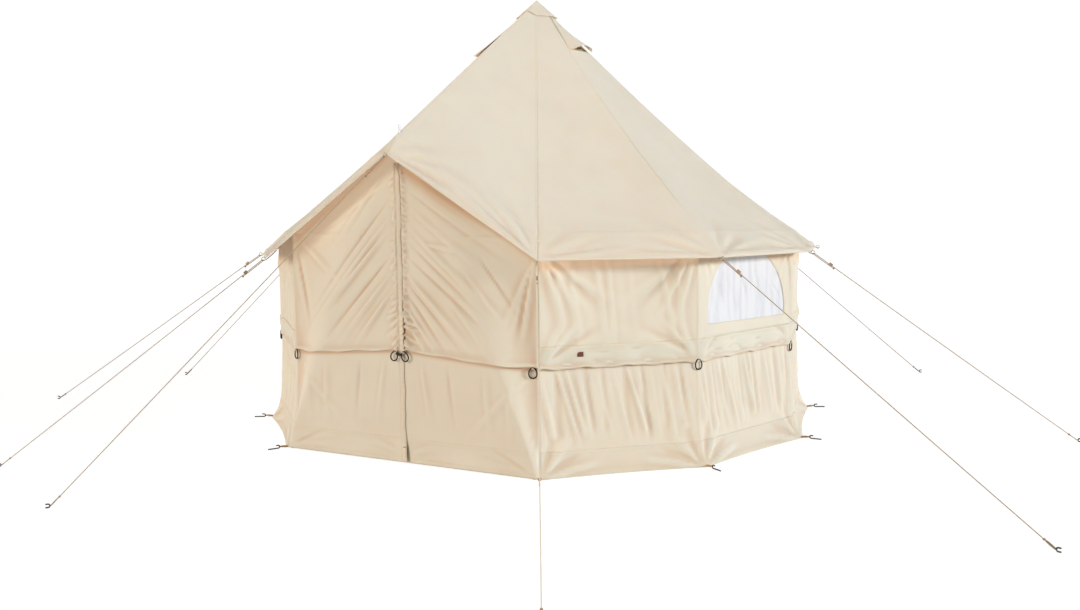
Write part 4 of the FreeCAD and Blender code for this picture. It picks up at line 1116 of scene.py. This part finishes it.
def eave_strap(lump, corner):
    """Webbing sewn under a roof corner, round its ring and back."""
    angle, edge, nudge = roof_corner(corner)
    _out, across, up = wall_axes(angle)
    outer, ring = ridge(angle, edge) + nudge, ring_centre(corner)
    inner = ridge(angle, edge - 0.055) + 0.9 * nudge
    run = unit(outer - inner)
    down = -up
    path = [inner + down * 0.010, inner + down * 0.011 + run * 0.03, outer + down * 0.009 - run * 0.002,
            ring + down * 0.007 - run * 0.004, ring + down * 0.006 + run * 0.001, ring + run * 0.003]
    strap(lump, path, across, 0.014, 0.0016)


def build_peg_loops():
    """The short tan webbing loops at the foot of each wall corner, round the pegs."""
    lump = Lump()
    for angle in CORNERS:
        out, across, up = wall_axes(angle)
        start = around(angle, BASE_R - 0.012, 0.006)
        reach = 0.048
        for side in (-1, 1):
            path = [start + out * reach * p + up * 0.004 * p
                    + across * side * 0.008 * math.sin(math.pi * min(1, 1.15 * p)) for p in np.linspace(0, 1, 12)]
            strap(lump, path, up, 0.007, 0.0014)
    dress(lump.make("peg_loop_webbing"), "guy_cord", WEBBING)


# ---------------------------------------------------------------- materials


class Nodes:
    """A short way to write node trees."""

    def __init__(self, tree):
        self.tree = tree

    def node(self, kind, inputs=None, **settings):
        """A new node with its settings, and its inputs by name or number."""
        made = self.tree.nodes.new(kind)
        for key, value in settings.items():
            setattr(made, key, value)
        for key, value in (inputs or {}).items():
            self.put(made.inputs[key], value)
        return made

    def put(self, target, value):
        if isinstance(value, bpy.types.NodeSocket):
            self.tree.links.new(value, target)
        else:
            target.default_value = value

    def math(self, operation, first, second=0.0):
        return self.node("ShaderNodeMath", {0: first, 1: second}, operation=operation).outputs[0]

    def mix(self, factor, first, second):
        return self.node("ShaderNodeMix", {0: factor, 6: first, 7: second}, data_type="RGBA").outputs[2]

    def noise(self, vector, scale, detail=3.0, roughness=0.55):
        return self.node("ShaderNodeTexNoise", {"Vector": vector, "Scale": scale, "Detail": detail,
                                                "Roughness": roughness}).outputs["Fac"]

    def wave(self, vector, direction, scale):
        return self.node("ShaderNodeTexWave", {"Vector": vector, "Scale": scale}, wave_type="BANDS",
                         bands_direction=direction).outputs["Fac"]

    def coordinates(self, name="Object"):
        return self.node("ShaderNodeTexCoord").outputs[name]

    def attribute(self, name):
        return self.node("ShaderNodeAttribute", attribute_name=name).outputs["Fac"]

    def ramp(self, value, low, high, kind="SMOOTHSTEP"):
        return self.node("ShaderNodeMapRange", {"Value": value, "From Min": low, "From Max": high},
                         interpolation_type=kind).outputs["Result"]

    def bump(self, height, distance, strength=1.0, normal=None):
        """Bump by a height, on top of another bump's normal if one is given."""
        below = {} if normal is None else {"Normal": normal}
        return self.node("ShaderNodeBump", {"Height": height, "Distance": distance, "Strength": strength,
                                            **below}).outputs["Normal"]


class Shader(Nodes):
    """A material with its nodes."""

    def __init__(self, name):
        self.material = bpy.data.materials.new(name)
        self.material.use_nodes = True
        super().__init__(self.material.node_tree)

    def set(self, **values):
        for key, value in values.items():
            self.put(self.tree.nodes["Principled BSDF"].inputs[key.replace("_", " ")], value)

    def tint(self, colour, amount, share, other):
        """The colour, drawn towards another by an amount times a share."""
        return self.mix(self.math("MULTIPLY", amount, share), colour, other)


CANVAS_LIGHT = (0.800, 0.742, 0.632, 1)
CANVAS_DARK = (0.778, 0.712, 0.596, 1)
# Colour of the painted shade, towards which the 'shade' attribute draws the canvas.
CANVAS_SHADE = (0.590, 0.385, 0.240, 1)
CANVAS_CLOUD, SLUB_COLOUR = (0.74, 0.60, 0.43, 1), (0.70, 0.58, 0.43, 1)
SEAM_COLOUR, STITCH_COLOUR = (0.80, 0.68, 0.50, 1), (0.70, 0.54, 0.38, 1)
PAINTED_GLOW_COLOUR = (1.0, 0.68, 0.45, 1)
THREADS = 260.0  # bands of the weave to a metre of cloth
SEAM_EDGE, STITCH_ROW = (0.0085, 0.0105), 0.0072  # distances from the line in which the cloth is joined


def canvas_material(name):
    """Cream cotton canvas: plain weave, slubs, slow colour change, stitched seams, painted shade from the 'shade'
    attribute and painted glow from the 'glow' attribute.
    """
    made = Shader(name)
    place, uv = made.coordinates(), made.coordinates("UV")
    slow = made.noise(place, 2.3, 2.0)
    cloudy = made.noise(place, 9.0, 4.0, 0.6)
    colour = made.mix(made.ramp(slow, 0.35, 0.68), CANVAS_LIGHT, CANVAS_DARK)
    colour = made.tint(colour, made.ramp(cloudy, 0.45, 0.75), 0.10, CANVAS_CLOUD)
    threads = made.math("MULTIPLY", made.wave(uv, "X", THREADS), made.wave(uv, "Y", THREADS))
    slub = made.noise(uv, 420.0, 2.0)
    height = made.math("ADD", threads, made.math("MULTIPLY", slub, 0.6))
    colour = made.tint(colour, slub, 0.10, SLUB_COLOUR)
    # Painted shade: the 'shade' attribute draws the colour towards CANVAS_SHADE in fold hollows, under the eaves and
    # awning, and along the waist.
    colour = made.tint(colour, made.attribute("shade"), 0.88, CANVAS_SHADE)
    normal = made.bump(height, 0.00018, 0.55)
    crumple = made.noise(place, 34.0, 4.0, 0.62)
    normal = made.bump(crumple, 0.0022, 0.22, normal)
    seam = made.attribute("seam")
    band = made.math("SUBTRACT", 1.0, made.ramp(seam, *SEAM_EDGE))
    off_row = made.math("ABSOLUTE", made.math("SUBTRACT", seam, STITCH_ROW))
    stitch = made.math("SUBTRACT", 1.0, made.ramp(off_row, 0.0006, 0.0014))
    colour = made.tint(colour, band, 0.12, SEAM_COLOUR)
    colour = made.tint(colour, stitch, 0.10, STITCH_COLOUR)
    normal = made.bump(made.math("SUBTRACT", band, made.math("MULTIPLY", stitch, 0.6)), 0.0009, 0.8, normal)
    # Painted glow: emission from the 'glow' attribute, standing in for light through the cloth.
    made.set(Base_Color=colour, Normal=normal, Emission_Color=PAINTED_GLOW_COLOUR)
    made.set(Emission_Strength=made.math("MULTIPLY", made.attribute("glow"), 0.26))
    made.set(Roughness=0.88, Specular_IOR_Level=0.20, Sheen_Weight=0.15, Sheen_Roughness=0.5)
    made.set(Subsurface_Weight=0.30, Subsurface_Scale=0.003, Subsurface_Radius=(1.0, 0.55, 0.28))
    return made.material


def film_material():
    made = Shader("window_film")
    slant = made.node("ShaderNodeMapping", {"Vector": made.coordinates("UV"), "Rotation": (0, 0, 0.75),
                                            "Scale": (30.0, 5.0, 1.0)})
    # Painted shade: slanting streaks of darker film colour stand in for the shading of the film's wrinkles.
    painted_wrinkle_shade = made.noise(slant.outputs[0], 1.0, 3.0)
    made.set(Base_Color=made.mix(made.ramp(painted_wrinkle_shade, 0.38, 0.72), (0.90, 0.905, 0.94, 1), (0.79, 0.80, 0.86, 1)))
    made.set(Normal=made.bump(made.noise(made.coordinates(), 60.0, 2.0), 0.0012, 0.25))
    made.set(Roughness=0.16, Specular_IOR_Level=0.55, Alpha=0.90, IOR=1.45)
    return made.material


def mesh_material():
    made = Shader("vent_screen")
    uv = made.coordinates("UV")
    threads = made.math("MAXIMUM", made.wave(uv, "X", 160.0), made.wave(uv, "Y", 160.0))
    made.set(Base_Color=made.mix(threads, (0.30, 0.14, 0.06, 1), (0.62, 0.36, 0.18, 1)), Roughness=0.8)
    made.set(Normal=made.bump(threads, 0.0004, 0.6))
    return made.material


def cord_material(name, light, dark, scale=420.0):
    made = Shader(name)
    place = made.coordinates()
    twist = made.wave(place, "DIAGONAL", scale)
    fuzz = made.noise(place, 900.0, 2.0)
    colour = made.tint(light, twist, 0.6, dark)
    made.set(Base_Color=made.tint(colour, fuzz, 0.35, dark), Roughness=0.85)
    made.set(Normal=made.bump(made.math("ADD", twist, fuzz), 0.0004, 0.7))
    return made.material


def metal_material(name, light, dark, roughness, metallic=1.0, grain=55.0):
    made = Shader(name)
    place = made.coordinates()
    cloudy = made.noise(place, grain, 4.0, 0.6)
    scuff = made.noise(place, 420.0, 2.0)
    made.set(Base_Color=made.mix(made.ramp(cloudy, 0.35, 0.7), light, dark), Metallic=metallic)
    made.set(Roughness=made.math("ADD", roughness, made.math("MULTIPLY", scuff, 0.18)))
    made.set(Normal=made.bump(scuff, 0.0002, 0.4))
    return made.material


def wood_material():
    made = Shader("runner_wood")
    place = made.coordinates()
    grain = made.noise(place, 190.0, 4.0, 0.65)
    made.set(Base_Color=made.mix(made.ramp(grain, 0.3, 0.7), (0.56, 0.37, 0.21, 1), (0.38, 0.22, 0.11, 1)))
    made.set(Roughness=0.5, Normal=made.bump(grain, 0.0003, 0.5))
    return made.material


CANVAS_SEWN = canvas_material("canvas_sewn")
FILM = film_material()
MESH_CLOTH = mesh_material()
CORD = cord_material("guy_cord", (0.50, 0.39, 0.28, 1), (0.34, 0.25, 0.16, 1))
PALE_CORD = cord_material("pale_guy_cord", (0.88, 0.80, 0.68, 1), (0.74, 0.64, 0.50, 1))
WEBBING = cord_material("tan_webbing", (0.62, 0.40, 0.20, 1), (0.40, 0.23, 0.10, 1), 300.0)
CREAM_WEBBING = cord_material("cream_webbing", (0.76, 0.65, 0.49, 1), (0.60, 0.47, 0.32, 1), 300.0)
WHITE_TAPE = cord_material("white_tape", (0.85, 0.80, 0.70, 1), (0.66, 0.60, 0.50, 1), 500.0)
TAPE = cord_material("zip_web", (0.78, 0.66, 0.50, 1), (0.62, 0.50, 0.36, 1), 600.0)
TAG = cord_material("brown_tag", (0.200, 0.060, 0.035, 1), (0.110, 0.032, 0.020, 1), 700.0)
ELASTIC = cord_material("black_elastic", (0.016, 0.012, 0.010, 1), (0.006, 0.005, 0.004, 1), 700.0)
TEETH = metal_material("zip_teeth", (0.56, 0.40, 0.26, 1), (0.44, 0.31, 0.20, 1), 0.5, 0.0)
STEEL = metal_material("galvanised_steel", (0.60, 0.61, 0.62, 1), (0.46, 0.47, 0.48, 1), 0.34)
DARK_STEEL = metal_material("peg_steel", (0.10, 0.10, 0.10, 1), (0.05, 0.045, 0.04, 1), 0.38)
ZINC = metal_material("zip_metal", (0.16, 0.15, 0.14, 1), (0.08, 0.075, 0.07, 1), 0.36)
NICKEL = metal_material("ring_nickel", (0.60, 0.54, 0.44, 1), (0.42, 0.37, 0.30, 1), 0.30)
BLACK_PLASTIC = metal_material("black_plastic", (0.030, 0.028, 0.026, 1), (0.018, 0.017, 0.016, 1), 0.42, 0.0)
RUBBER = metal_material("black_rubber", (0.035, 0.035, 0.035, 1), (0.020, 0.020, 0.020, 1), 0.70, 0.0)
WOOD = wood_material()

CAD_FINISH = {
    "pole_lower": STEEL, "pole_middle": STEEL, "pole_upper": STEEL, "pole_joints": STEEL,
    "door_pole_lower": STEEL, "door_pole_upper": STEEL, "door_pole_joints": STEEL, "door_pole_peak": STEEL,
    "pole_foot": RUBBER, "door_pole_feet": RUBBER, "pole_cap": BLACK_PLASTIC, "door_toggle": BLACK_PLASTIC,
    "zip_slider": ZINC, "zip_pull": ZINC, "eave_rings": NICKEL, "wall_pegs": DARK_STEEL, "guy_pegs": DARK_STEEL}


def paint(piece, material):
    piece.data.materials.clear()
    piece.data.materials.append(material)


def finish_cloth(piece, slot, material, *gone):
    paint(piece, material)
    if gone:
        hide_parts(*gone)


def dress(piece, slot, material, *gone, body="root"):
    """Gives a piece its material, hides the CAD nodes that it stands for, and attaches it to the body that it moves
    with; the slot argument is not used.
    """
    finish_cloth(piece, slot, material, *gone)
    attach(piece, body)


def finish_frame_nodes():
    for name, node in nodes.items():
        material = CAD_FINISH.get(name) or (WOOD if name.startswith("runner_") else None)
        if material is not None:
            paint(node, material)


# ---------------------------------------------------------------- floor, light, camera


LAMPS = [  # name, azimuth from the door towards the right, elevation, softness in degrees, strength, colour
    ("key", 98, 14, 10, 2.68, (0.960, 0.985, 1.0)),
    ("left", -90, 50, 40, 0.50, (1.0, 0.985, 0.96)),
    ("fill", -28, 12, 25, 1.93, (1.0, 0.87, 0.735))]

SKY_LOW, SKY_HIGH = (0.54, 0.515, 0.475, 1), (0.232, 0.232, 0.230, 1)


def build_stage():
    """A plain floor, and white behind it for the camera, while the canvas is lit by a softer sky."""
    bpy.ops.mesh.primitive_plane_add(size=60, location=(0, 0, -0.0005))
    floor = bpy.context.object
    floor.name = "floor"
    made = Shader("floor_white")
    speck = made.noise(made.coordinates(), 3.0, 2.0)
    made.set(Base_Color=made.mix(speck, (0.24, 0.24, 0.24, 1), (0.26, 0.26, 0.26, 1)), Roughness=0.9)
    made.set(Emission_Color=(1, 1, 1, 1), Emission_Strength=0.86)
    floor.data.materials.append(made.material)
    floor.visible_diffuse = floor.visible_glossy = False
    world = bpy.data.worlds.new("studio")
    bpy.context.scene.world = world
    world.use_nodes = True
    sky = Nodes(world.node_tree)
    height = sky.node("ShaderNodeSeparateXYZ", {0: sky.coordinates("Generated")}).outputs["Z"]
    soft = sky.tree.nodes["Background"]
    sky.put(soft.inputs[0], sky.mix(sky.ramp(height, -0.15, 0.15, "LINEAR"), SKY_LOW, SKY_HIGH))
    seen = sky.node("ShaderNodeBackground", {0: (1, 1, 1, 1), 1: 1.02})
    by_camera = sky.node("ShaderNodeLightPath").outputs["Is Camera Ray"]
    choose = sky.node("ShaderNodeMixShader", {0: by_camera, 1: soft.outputs[0], 2: seen.outputs[0]})
    sky.put(sky.tree.nodes["World Output"].inputs["Surface"], choose.outputs[0])
    for name, azimuth, elevation, softness, strength, colour in LAMPS:
        lamp = bpy.data.lights.new(name, "SUN")
        lamp.angle, lamp.energy, lamp.color = math.radians(softness), strength, colour
        holder = bpy.data.objects.new(name, lamp)
        turn, rise = math.radians(azimuth), math.radians(elevation)
        shine = Vector((-math.cos(rise) * math.sin(turn), math.cos(rise) * math.cos(turn), -math.sin(rise)))
        holder.rotation_euler = shine.to_track_quat("-Z", "Y").to_euler()
        link(holder)


def build_camera():
    """The camera stands off the tent's right front, and looks slightly down at it."""
    azimuth, distance, height = math.radians(28.73), 6.511, 1.338
    pitch, yaw, roll = math.radians(6.48), math.radians(0.01), math.radians(-0.69)
    width, focal = 1080.0, 1180.0
    data = bpy.data.cameras.new("camera")
    data.sensor_width = 36.0
    data.lens = focal / width * data.sensor_width
    camera = bpy.data.objects.new("camera", data)
    camera.location = (distance * math.sin(azimuth), -distance * math.cos(azimuth), height)
    look = azimuth + yaw
    forward = Vector((-math.sin(look) * math.cos(pitch), math.cos(look) * math.cos(pitch), -math.sin(pitch)))
    turn = forward.to_track_quat("-Z", "Y")
    camera.rotation_mode = "QUATERNION"
    camera.rotation_quaternion = turn @ Quaternion((0, 0, 1), roll)
    link(camera)
    bpy.context.scene.camera = camera


build_camera()
build_guys()
build_peg_loops()
build_roof()
build_vents()
build_apex_cap()
build_upper_wall()
build_waist_band()
build_tag()
build_lower_wall()
build_windows()
for side, name in ((-1, "left"), (1, "right")):
    build_door_half(side, name)
build_storm_flap()
build_zip()
build_waist_loops()
finish_frame_nodes()
build_stage()

view = bpy.context.scene.view_settings
view.view_transform = "Standard"
view.look = "None"
